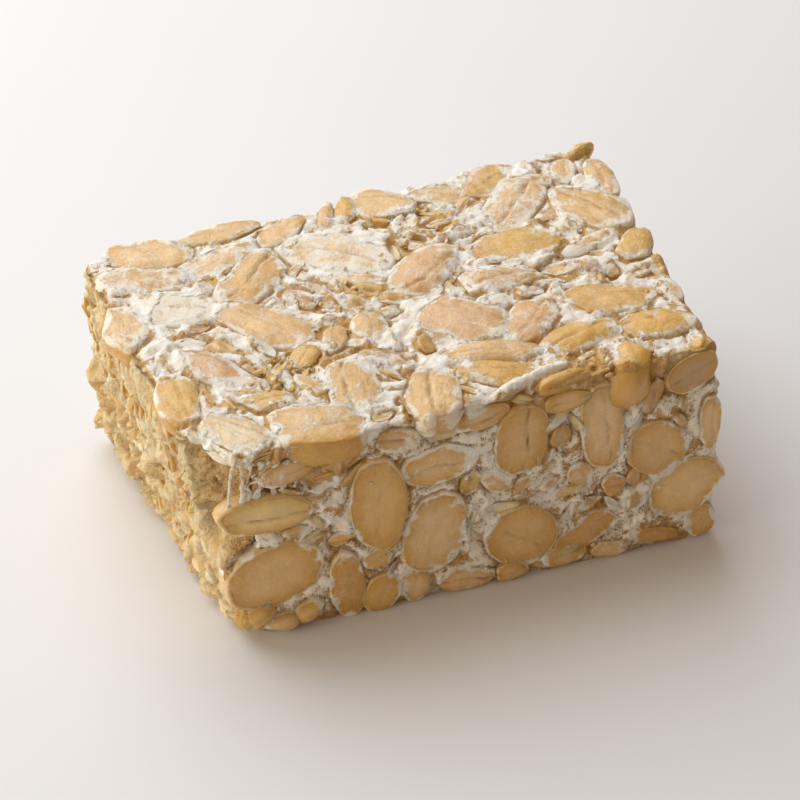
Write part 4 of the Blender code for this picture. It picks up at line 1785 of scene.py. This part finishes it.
@dataclass(frozen=True)
class SharedEffects:
    """The effects that the finishes have in common, each a node group."""

    def build(self) -> dict[str, bpy.types.NodeTree]:
        """All the groups by name."""
        makers = (self.frosting, self.mottling, self.cracks, self.crumble)
        return {maker.__name__: maker() for maker in makers}

    def frosting(self) -> bpy.types.NodeTree:
        """White mould on a surface: a ragged mask that grows with the amount, and its bumps."""
        graph = group_tree("frosting", {"Amount": 0.3}, ("Mask", "Haze", "Bumps"))
        place = graph.given(PLACE_MM)
        broad = graph.noise(place, 0.42, 4.0, 0.6)
        fine = graph.noise(place, 2.3, 5.0, 0.4)
        blend = broad * 0.62 + fine * 0.38
        low = 0.66 - graph.given("Amount") * 0.36
        patches = graph.step(blend, low, low + 0.07)
        veil = graph.step(blend, low - 0.1, low + 0.16)
        both = patches * 0.6 + veil * 0.4
        graph.give("Mask", both)
        haze = graph.step(blend, low - 0.16, low + 0.26)
        graph.give("Haze", haze)
        graph.give("Bumps", fine)
        return graph.tree

    def mottling(self) -> bpy.types.NodeTree:
        """Uneven colour: a base colour made paler in some places and deeper in others."""
        colours = {"Base": (0.6, 0.4, 0.2, 1), "Deep": (0.4, 0.2, 0.05, 1)}
        graph = group_tree("mottling", colours | {"Amount": 0.4}, ("Colour",))
        place = graph.given(PLACE_MM)
        broad = graph.step(graph.noise(place, 0.30, 3.0, 0.5), 0.38, 0.72)
        fine = graph.noise(place, 3.2, 4.0)
        amount = broad * graph.given("Amount")
        deep = graph.mix(amount, graph.given("Base"), graph.given("Deep"))
        speckle = graph.step(fine, 0.30, 0.75)
        pale = graph.mix(0.18, deep, (1.0, 0.93, 0.82, 1.0), "SOFT_LIGHT")
        graph.give("Colour", graph.mix(speckle, deep, pale))
        return graph.tree

    def crumble(self) -> bpy.types.NodeTree:
        """Crumbs of broken flesh: rounded cells of two sizes, each at its own height in mm, and a
        mask of the creases between them, where the skin's finish paints shade.
        """
        graph = group_tree("crumble", {}, ("Height", "Crease"))
        torn = graph.torn(graph.given(PLACE_MM), 0.8, 4.0, 1.6)
        total, creases = 0.0, 0.0
        for scale, size in ((0.75, 0.42), (2.1, 0.16)):
            cell = graph.cells(torn, scale, "F1")
            split = graph.node("ShaderNodeSeparateColor")
            graph.feed(split.inputs["Color"], cell["Color"])
            round_top = Wire(graph, split.outputs["Red"]) - cell["Distance"]
            total = total + round_top * size
            crease = graph.step(cell["Distance"], 0.45, 0.85)
            creases = graph.math("MAXIMUM", creases, crease * (size * 2.2))
        graph.give("Height", total)
        graph.give("Crease", creases)
        return graph.tree

    def cracks(self) -> bpy.types.NodeTree:
        """Small cracks and pin holes, which the finishes paint dark as their shade: thin cell
        borders that show in places.
        """
        graph = group_tree("cracks", {"Amount": 0.5}, ("Mask",))
        place = graph.given(PLACE_MM)
        edges = graph.cells(graph.torn(place, 0.9, 3.0, 2.2), 0.62, "DISTANCE_TO_EDGE")
        line = graph.step(edges["Distance"], 0.055, 0.0)
        gate_noise = graph.noise(place, 1.25, 3.0, 0.8)
        low = 0.72 - graph.given("Amount") * 0.22
        gate = graph.step(gate_noise, low, low + 0.06)
        dot_noise = graph.noise(place, 2.6, 2.0, 0.5)
        dots = graph.step(dot_noise, low + 0.02, low + 0.08)
        both = graph.math("MAXIMUM", line * gate, dots)
        graph.give("Mask", both)
        return graph.tree


def place_in_mm(graph: Graph) -> Wire:
    """Object coordinates in millimetres."""
    coordinates = graph.node("ShaderNodeTexCoord")
    mapping = graph.node("ShaderNodeMapping", vector_type="POINT")
    mapping.inputs["Scale"].default_value = (1000.0, 1000.0, 1000.0)
    graph.feed(mapping.inputs["Vector"], Wire(graph, coordinates.outputs["Object"]))
    return Wire(graph, mapping.outputs["Vector"])


def new_material(name: str, roughness: float, subsurface: float) -> tuple[Graph, bpy.types.Node]:
    """A material with its Principled shader, whose constant values are set on its own sockets.

    Args:
        name: the material's name.
        roughness: starting roughness.
        subsurface: weight of the light that passes under the surface.

    Returns:
        The material's graph and its shader.
    """
    material = bpy.data.materials.new(name)
    material.use_nodes = True
    graph = Graph(material.node_tree)
    shader = material.node_tree.nodes["Principled BSDF"]
    shader.inputs["Roughness"].default_value = roughness
    shader.inputs["Subsurface Weight"].default_value = subsurface
    shader.inputs["Subsurface Radius"].default_value = (1.0, 0.55, 0.25)
    shader.inputs["Subsurface Scale"].default_value = 1.8 * MM
    return graph, shader


@dataclass(frozen=True)
class BeanFinish:
    """Cooked soybean: satin, slightly translucent flesh, with dusty mould in places, and shade
    painted into its furrow, slits and rim.
    """

    deep: tuple = (0.44, 0.225, 0.055, 1.0)
    # The rim's amber: partly the bean's own golden rim, partly painted shade and glow.
    edge: tuple = (0.60, 0.335, 0.082, 1.0)
    skin: tuple = (0.86, 0.69, 0.42, 1.0)
    heart: tuple = (0.82, 0.60, 0.35, 1.0)
    mould: tuple = (0.89, 0.82, 0.71, 1.0)
    # Painted shade in the furrow and in the slits.
    crease: tuple = (0.30, 0.15, 0.045, 1.0)

    def material(self, effects: dict[str, bpy.types.NodeTree]) -> bpy.types.Material:
        """Builds the material.

        Args:
            effects: the shared node groups by name.

        Returns:
            The finished material.
        """
        graph, shader = new_material("soybean_flesh", 0.45, 0.35)
        place = place_in_mm(graph)
        tint = graph.attribute("tint", "Color")
        mottled = graph.group(
            effects["mottling"], Place_mm=place, Base=tint, Deep=self.deep, Amount=0.25
        )
        along = graph.stretched(graph.attribute("local", "Vector"), (0.28, 1.5, 1.0))
        streaks = graph.noise(along, 1.0, 6.0, 0.6)
        rim = graph.attribute("rim")
        sliced = graph.attribute("sliced")
        streaky = 0.4 - sliced * 0.28
        streak_mask = graph.step(streaks, 0.52, 0.72) * streaky
        colour = graph.mix(streak_mask, mottled["Colour"], self.deep)
        # Towards the outline the flesh deepens to amber: partly the bean's own golden rim, partly
        # painted shade on its flanks and painted glow of light through them.
        rounded = graph.step(rim, 0.45, 1.02) * 0.8
        colour = graph.mix(rounded, colour, self.edge)
        hazy = graph.step(rim, 0.85, 0.35) * (sliced * 0.3)
        colour = graph.mix(hazy, colour, self.heart)
        partly = graph.step(graph.noise(place, 0.5, 2.0), 0.30, 0.50)
        ringed = sliced * partly
        ring = graph.step(rim, 0.88, 0.92) * graph.step(rim, 0.95, 0.925)
        ring = ring * (ringed * 0.6)
        colour = graph.mix(ring, colour, self.deep)
        skin_ring = graph.step(rim, 0.945, 0.965) * ringed
        colour = graph.mix(skin_ring * 0.45, colour, self.skin)
        # Painted shade in the slits and in the furrow between the halves.
        slit_share = 0.2 + sliced * -0.05
        crack = graph.group(effects["cracks"], Place_mm=place, Amount=slit_share)
        slits = crack["Mask"] * 0.5
        colour = graph.mix(slits, colour, self.crease)
        crease = graph.attribute("crease") * 0.85
        colour = graph.mix(crease, colour, self.crease)
        gate = graph.step(graph.noise(place, 0.22, 2.0), 0.50, 0.60)
        creep = graph.step(rim, 0.5, 1.1) * gate
        creep = creep * 0.3
        amount = graph.attribute("frost") + creep
        amount = amount - sliced * 0.1
        frost = graph.group(effects["frosting"], Place_mm=place, Amount=amount)
        powder = frost["Haze"] * 0.38
        mask = powder + frost["Mask"] * 0.52
        colour = graph.mix(mask, colour, self.mould)
        graph.feed(shader.inputs["Base Color"], colour)
        graph.feed(shader.inputs["Roughness"], graph.between(mask, 0.27, 0.85))
        wrinkle = graph.noise(place, 1.3, 6.0, 0.8)
        height = wrinkle * 0.8 - slits
        height = height + streaks * 0.6
        height = height + mask * 0.25
        grainy = mask * frost["Bumps"]
        height = height + grainy * 0.6
        height = height * (1.0 - sliced * 0.65)
        graph.feed(shader.inputs["Normal"], graph.bump(height, 0.8, 0.22 * MM))
        return bpy.data.materials["soybean_flesh"]


@dataclass(frozen=True)
class MouldFinish:
    """The skin: chalky white felt of mould over torn flesh, with small dark cracks, and shade
    painted into its cavities, creases and cracks.
    """

    white: tuple = (0.95, 0.92, 0.87, 1.0)
    cream: tuple = (0.87, 0.78, 0.65, 1.0)
    # Warmer cream on the cut sides: partly that mould's own colour, partly painted warm light on
    # the shaded front.
    warm: tuple = (1.0, 0.885, 0.72, 1.0)
    # Painted shade on the white in the deep cavities.
    shade: tuple = (0.58, 0.38, 0.16, 1.0)
    # Painted shade in the cracks and pin holes.
    crack: tuple = (0.16, 0.09, 0.045, 1.0)
    speck: tuple = (0.20, 0.165, 0.12, 1.0)
    # A deeper flesh colour for the mottling, and painted shade in the cavities and creases.
    deep: tuple = (0.54, 0.285, 0.065, 1.0)

    def material(self, effects: dict[str, bpy.types.NodeTree]) -> bpy.types.Material:
        """Builds the material.

        Args:
            effects: the shared node groups by name.

        Returns:
            The finished material.
        """
        graph, shader = new_material("mould_felt", 0.85, 0.15)
        place = place_in_mm(graph)
        cavity = graph.attribute("cavity")
        tint = graph.attribute("tint", "Color")
        flesh = graph.group(
            effects["mottling"], Place_mm=place, Base=tint, Deep=self.deep, Amount=0.28
        )
        squeeze = 1.0 - graph.attribute("upright") * 0.65
        axes = graph.node("ShaderNodeCombineXYZ")
        axes.inputs["X"].default_value = 1.0
        axes.inputs["Y"].default_value = 1.0
        graph.feed(axes.inputs["Z"], squeeze)
        drawn = graph.stretched(place, Wire(graph, axes.outputs["Vector"]))
        crumbs = graph.group(effects["crumble"], Place_mm=drawn)
        # Painted shade: the flesh deepens in the cavities and in the creases between crumbs.
        flesh_colour = graph.mix(cavity * 0.7, flesh["Colour"], self.deep)
        creased = crumbs["Crease"] * 0.32
        flesh_colour = graph.mix(creased, flesh_colour, self.deep)
        tone = graph.step(graph.noise(place, 0.55, 4.0, 0.8), 0.36, 0.66)
        white = graph.mix(tone, self.cream, self.white)
        # Painted shade: the white turns to shade in the deep cavities.
        hollow = graph.step(cavity, 0.45, 1.0) * 0.6
        white = graph.mix(hollow, white, self.shade)
        webbed = graph.attribute("webbed")
        # Partly the cut mould's own creamier colour, partly painted warm light on the shaded front.
        white = graph.mix(webbed * 0.65, white, self.warm)
        vein = graph.noise(place, 0.75, 4.0, 1.2)
        off_vein = graph.math("ABSOLUTE", vein - 0.5)
        web = graph.step(off_vein, 0.07, 0.0) * webbed
        amount = graph.attribute("mould") + web * 0.5
        white_share = graph.group(effects["frosting"], Place_mm=place, Amount=amount)["Mask"]
        colour = graph.mix(white_share, flesh_colour, white)
        # Painted shade in the cracks, which are more in the cavities.
        hollows = cavity * 0.5
        split_share = 0.08 + webbed * 0.15
        crack = graph.group(effects["cracks"], Place_mm=place, Amount=split_share + hollows)
        mask = crack["Mask"] * 0.8
        colour = graph.mix(mask, colour, self.crack)
        among = graph.step(graph.noise(place, 0.30, 2.0), 0.48, 0.60)
        dots = graph.step(graph.noise(place, 2.1, 3.0, 0.6), 0.57, 0.63)
        specks = dots * among * webbed
        colour = graph.mix(specks * 0.75, colour, self.speck)
        graph.feed(shader.inputs["Base Color"], colour)
        graph.feed(shader.inputs["Roughness"], graph.between(white_share, 0.5, 0.92))
        folds = graph.noise(place, 1.0, 7.0, 2.0)
        fibres = graph.noise(place, 4.5, 4.0, 1.5)
        felt = folds + fibres * 0.4
        felt = felt * 0.24
        bare = 1.0 - white_share
        height = felt + bare * crumbs["Height"]
        height = height - mask * 0.15
        height = height + white_share * 0.1
        height = height - specks * 0.12
        graph.feed(shader.inputs["Normal"], graph.bump(height, 0.85, 1.0 * MM))
        return bpy.data.materials["mould_felt"]


@dataclass(frozen=True)
class FloorFinish:
    """The plain pale floor, with the faintest unevenness."""

    colour: tuple = (0.785, 0.774, 0.768, 1.0)

    def material(self) -> bpy.types.Material:
        """Builds the material."""
        graph, shader = new_material("pale_floor", 0.7, 0.0)
        place = place_in_mm(graph)
        cloud = graph.step(graph.noise(place, 0.006, 3.0), 0.2, 0.8)
        darker = tuple(c * 0.975 for c in self.colour[:3]) + (1.0,)
        graph.feed(shader.inputs["Base Color"], graph.mix(cloud, self.colour, darker))
        shader.inputs["Specular IOR Level"].default_value = 0.2
        return bpy.data.materials["pale_floor"]


# The cake


@dataclass
class TempehCake:
    """The whole cake: its skin, its beans and its crumbs, each kind one piece."""

    block: Block = field(default_factory=Block)
    fine: float = 0.27
    coarse: float = 0.5

    def build(self) -> list[bpy.types.Object]:
        """Builds and dresses every piece and sets it on the cake's body.

        Returns:
            The pieces.
        """
        effects = SharedEffects().build()
        flesh, felt = BeanFinish().material(effects), MouldFinish().material(effects)
        layout = self.layout()
        everything = [bean for beans in layout.values() for bean in beans]
        pieces = []
        for name, beans in layout.items():
            spacing = self.fine if name.startswith(("upper", "front")) else self.coarse
            pieces.append(self.bean_piece(name, beans, flesh, spacing))
        pieces.append(self.crumb_piece("crumbs", flesh, everything))
        for piece in pieces:
            self.mount(piece)
        sheets = MouldSkin(self.block, everything).build()
        sheets["mould_threads"] = WebThreads(self.block).build()
        for name, sheet in sheets.items():
            piece = sheet.to_object(name, felt, smooth=True)
            self.mount(piece)
            pieces.append(piece)
        return pieces

    def layout(self) -> dict[str, list[Bean]]:
        """Where every bean and broken piece lies, by the name of the piece it belongs to."""
        block = self.block
        upper = listed_beans(Face.TOP, UPPER_BEANS, False, 0.6)
        front = listed_beans(Face.FRONT, CUT_BEANS, True, 0.35)
        shards = {"lengths": (3.0, 8.5), "slimness": (0.25, 0.58), "chips": 5, "rough": 1.2}
        shards |= {"crowd": 0.80, "lean": 0.28, "dome": (0.0, 0.35), "frost": (0.0, 0.6)}
        tones = (Tone.STRAW, Tone.CREAM, Tone.PALE, Tone.STRAW, Tone.CREAM)
        warm = {"tones": tones, "frost": (0.0, 0.1), "keep_out": (-99.0, -11.0, 13.0, 99.0)}
        top_shards = BeanScatter(
            Face.TOP, (-37.0, -22.5), (37.0, 25.5), 2600, 31, rise=(-0.1, 0.5),
            keep_out=(-99.0, -30.0, -99.0, -12.0), **shards
        )
        front_shards = BeanScatter(
            Face.FRONT, (-33.0, 0.8), (34.0, 29.5), 420, 32, rise=(-0.2, 0.15),
            keep_out=(-99.0, -29.0, 13.0, 99.0), **(shards | {"frost": (0.0, 0.3)})
        )
        slabs = BeanScatter(
            Face.LEFT, (-11.0, 17.0), (24.0, 27.0), 36, 33, (5.0, 11.0), (0.12, 0.24), (84.0, 97.0),
            rise=(-0.2, 0.9), dome=(0.0, 0.2), chips=6, rough=2.4, crowd=0.70, lean=0.2, **warm
        )
        lumps = BeanScatter(
            Face.LEFT, (-17.0, 1.0), (24.0, 14.0), 160, 34, (2.0, 6.0), (0.5, 0.9),
            rise=(0.2, 1.2), dome=(0.1, 0.5), chips=6, rough=1.6, crowd=0.95, lean=0.25, **warm
        )
        left = slabs.beans(block, [])
        left += lumps.beans(block, left)
        sides = []
        for face, low, high, seed in (
            (Face.BACK, (-34.0, 2.0), (35.0, 28.0), 35),
            (Face.RIGHT, (-23.0, 2.0), (24.0, 28.0), 36),
        ):
            whole = BeanScatter(face, low, high, 260, seed, sliced=True, rough=0.4, inset=1.0)
            some = whole.beans(block, [])
            broken = BeanScatter(
                face, low, high, 700, seed + 10, rise=(-0.1, 0.3), inset=0.8, **shards
            )
            sides += some + broken.beans(block, some)
        under = BeanScatter(Face.FOOT, (-28.0, -18.0), (30.0, 20.0), 260, 37, rise=(0.05, 0.1))
        return {
            "upper_beans": upper,
            "upper_shards": top_shards.beans(block, upper),
            "front_beans": front,
            "front_shards": front_shards.beans(block, front),
            "end_shards": left,
            "side_beans": sides + under.beans(block, []),
        }

    def bean_piece(
        self, name: str, beans: list[Bean], flesh: bpy.types.Material, spacing: float
    ) -> bpy.types.Object:
        """One piece out of many beans.

        Args:
            name: the piece's name.
            beans: its beans.
            flesh: their material.
            spacing: spacing of a bean's points in millimetres.

        Returns:
            The piece.
        """
        surface = Surface()
        for bean in beans:
            rows = int(np.clip(bean.length / spacing, 12, 46))
            columns = int(np.clip(1.9 * bean.width / spacing, 16, 50))
            grid, values = bean.grow(self.block, rows, columns)
            grid[..., 2] = np.maximum(grid[..., 2], 0.0)
            points, polygons, flat = close_ends(grid, values)
            surface.add(points, polygons, **flat)
        return surface.to_object(name, flesh, smooth=True)

    def crumb_piece(
        self, name: str, flesh: bpy.types.Material, beans: list[Bean]
    ) -> bpy.types.Object:
        """All crumbs as one piece.

        Args:
            name: the piece's name.
            flesh: their material.
            beans: every bean, which the crumbs keep clear of.

        Returns:
            The piece.
        """
        surface = Surface()
        scatters = (
            CrumbScatter(Face.TOP, 80, (4.0, 11.0), (15.0, 20.0), (0.5, 1.6), 21),
            CrumbScatter(Face.TOP, 60, (-11.0, 1.0), (-1.0, 8.0), (0.5, 1.6), 22),
            CrumbScatter(Face.TOP, 90, (-25.0, -13.0), (-14.0, -5.0), (0.5, 1.8), 23),
            CrumbScatter(Face.TOP, 34, (9.0, -21.5), (24.0, -17.0), (0.5, 1.8), 24),
            CrumbScatter(Face.TOP, 180, (-29.0, -21.0), (36.0, 24.0), (0.4, 1.2), 25),
            CrumbScatter(Face.LEFT, 170, (-14.0, 2.0), (23.0, 16.0), (0.6, 2.2), 26),
            CrumbScatter(Face.LEFT, 120, (-14.0, 12.0), (23.0, 29.0), (0.5, 1.6), 27),
            CrumbScatter(Face.FRONT, 120, (-32.0, 1.5), (33.0, 28.0), (0.4, 1.2), 28),
            CrumbScatter(Face.FRONT, 14, (8.0, 26.5), (26.0, 30.0), (0.9, 2.8), 31),
            CrumbScatter(Face.TOP, 10, (8.0, -22.4), (26.0, -20.4), (0.9, 2.8), 32),
            CrumbScatter(Face.RIGHT, 60, (-21.0, 2.0), (22.0, 28.0), (0.5, 1.6), 29),
            CrumbScatter(Face.BACK, 60, (-33.0, 2.0), (34.0, 28.0), (0.5, 1.6), 30),
        )
        for scatter in scatters:
            near = [bean for bean in beans if bean.face is scatter.face]
            scatter.build(surface, self.block, near)
        return surface.to_object(name, flesh, smooth=False)

    def mount(self, piece: bpy.types.Object) -> None:
        """Sets the piece on the cake's body and hides the plain imported cake."""
        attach(piece, BODY)
        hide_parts(NODE)


# The studio


@dataclass(frozen=True)
class Studio:
    """Floor, camera and soft light.

    The camera's heading is clockwise from the cake's depth direction and its target lies on the
    floor, all relative to the middle of the cake's box.
    """

    target_mm: tuple = (6.57, 17.315, 0.0)
    distance: float = 0.4053
    heading: float = 21.43
    pitch: float = 37.867
    view_angle: float = 16.0
    floor_half: float = 3.0
    key_from: tuple = (-0.220, 0.604, 0.766)
    key_distance: float = 0.55
    key_size: float = 0.70
    key_power: float = 4.05
    key_colour: tuple = (0.852, 0.906, 0.968)
    fill_from: tuple = (-0.981, -0.086, 0.174)
    fill_distance: float = 0.40
    fill_size: float = 0.30
    fill_power: float = 0.92
    fill_colour: tuple = (1.0, 0.964, 0.80)
    ambient: tuple = (1.0, 0.79, 0.61)
    ambient_strength: float = 0.31

    def build(self) -> None:
        """Sets up the camera, floor, lights and plain background."""
        low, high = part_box(NODE)
        middle = (low + high) / 2
        middle.z = low.z
        self.camera(middle + Vector(self.target_mm) * MM)
        self.floor(low.z)
        self.lights(middle)

    def camera(self, target: Vector) -> None:
        """The camera, looking at the target from the heading and pitch.

        Args:
            target: the point at the middle of its view.
        """
        heading, pitch = math.radians(self.heading), math.radians(self.pitch)
        flat = math.cos(pitch)
        forward = Vector((math.sin(heading) * flat, math.cos(heading) * flat, -math.sin(pitch)))
        data = bpy.data.cameras.new("camera")
        data.sensor_width = 36.0
        data.lens = 18.0 / math.tan(math.radians(self.view_angle) / 2)
        data.clip_start, data.clip_end = 0.01, 20.0
        camera = bpy.data.objects.new("camera", data)
        camera.location = target - forward * self.distance
        camera.rotation_mode = "QUATERNION"
        camera.rotation_quaternion = forward.to_track_quat("-Z", "Y")
        bpy.context.scene.collection.objects.link(camera)
        bpy.context.scene.camera = camera

    def floor(self, height: float) -> None:
        """The floor: one flat square at the cake's foot."""
        half = self.floor_half
        mesh = bpy.data.meshes.new("floor")
        corners = [(-half, -half, height), (half, -half, height), (half, half, height)]
        corners.append((-half, half, height))
        mesh.from_pydata(corners, [], [(0, 1, 2, 3)])
        mesh.materials.append(FloorFinish().material())
        floor = bpy.data.objects.new("floor", mesh)
        bpy.context.scene.collection.objects.link(floor)

    def lamp(
        self,
        name: str,
        middle: Vector,
        toward: tuple,
        distance: float,
        size: float,
        watts: float,
        colour: tuple,
    ) -> None:
        """A round soft light that faces the cake.

        Args:
            name: its name.
            middle: what it faces.
            toward: direction from there to the light.
            distance: how far off it is.
            size: its diameter.
            watts: its power.
            colour: its linear colour.
        """
        direction = Vector(toward).normalized()
        data = bpy.data.lights.new(name, "AREA")
        data.shape = "DISK"
        data.size, data.energy, data.color = size, watts, colour
        lamp = bpy.data.objects.new(name, data)
        lamp.location = middle + direction * distance
        lamp.rotation_mode = "QUATERNION"
        lamp.rotation_quaternion = (-direction).to_track_quat("-Z", "Y")
        bpy.context.scene.collection.objects.link(lamp)

    def lights(self, middle: Vector) -> None:
        """A big soft light from behind, a weak one from the left and a warm even background.

        Args:
            middle: what the lights face.
        """
        key = self.key_from, self.key_distance, self.key_size, self.key_power
        fill = self.fill_from, self.fill_distance, self.fill_size, self.fill_power
        self.lamp("key", middle, *key, self.key_colour)
        self.lamp("fill", middle, *fill, self.fill_colour)
        world = bpy.data.worlds.new("surroundings")
        world.use_nodes = True
        background = world.node_tree.nodes["Background"]
        background.inputs["Color"].default_value = (*self.ambient, 1.0)
        background.inputs["Strength"].default_value = self.ambient_strength
        bpy.context.scene.world = world
        bpy.context.scene.view_settings.view_transform = "Standard"


def main() -> None:
    """Builds the cake and the studio."""
    logging.basicConfig(level=logging.INFO, format="%(message)s")
    pieces = TempehCake().build()
    Studio().build()
    LOG.info("pieces: %s", ", ".join(piece.name for piece in pieces))


if __name__ == "__main__":
    main()
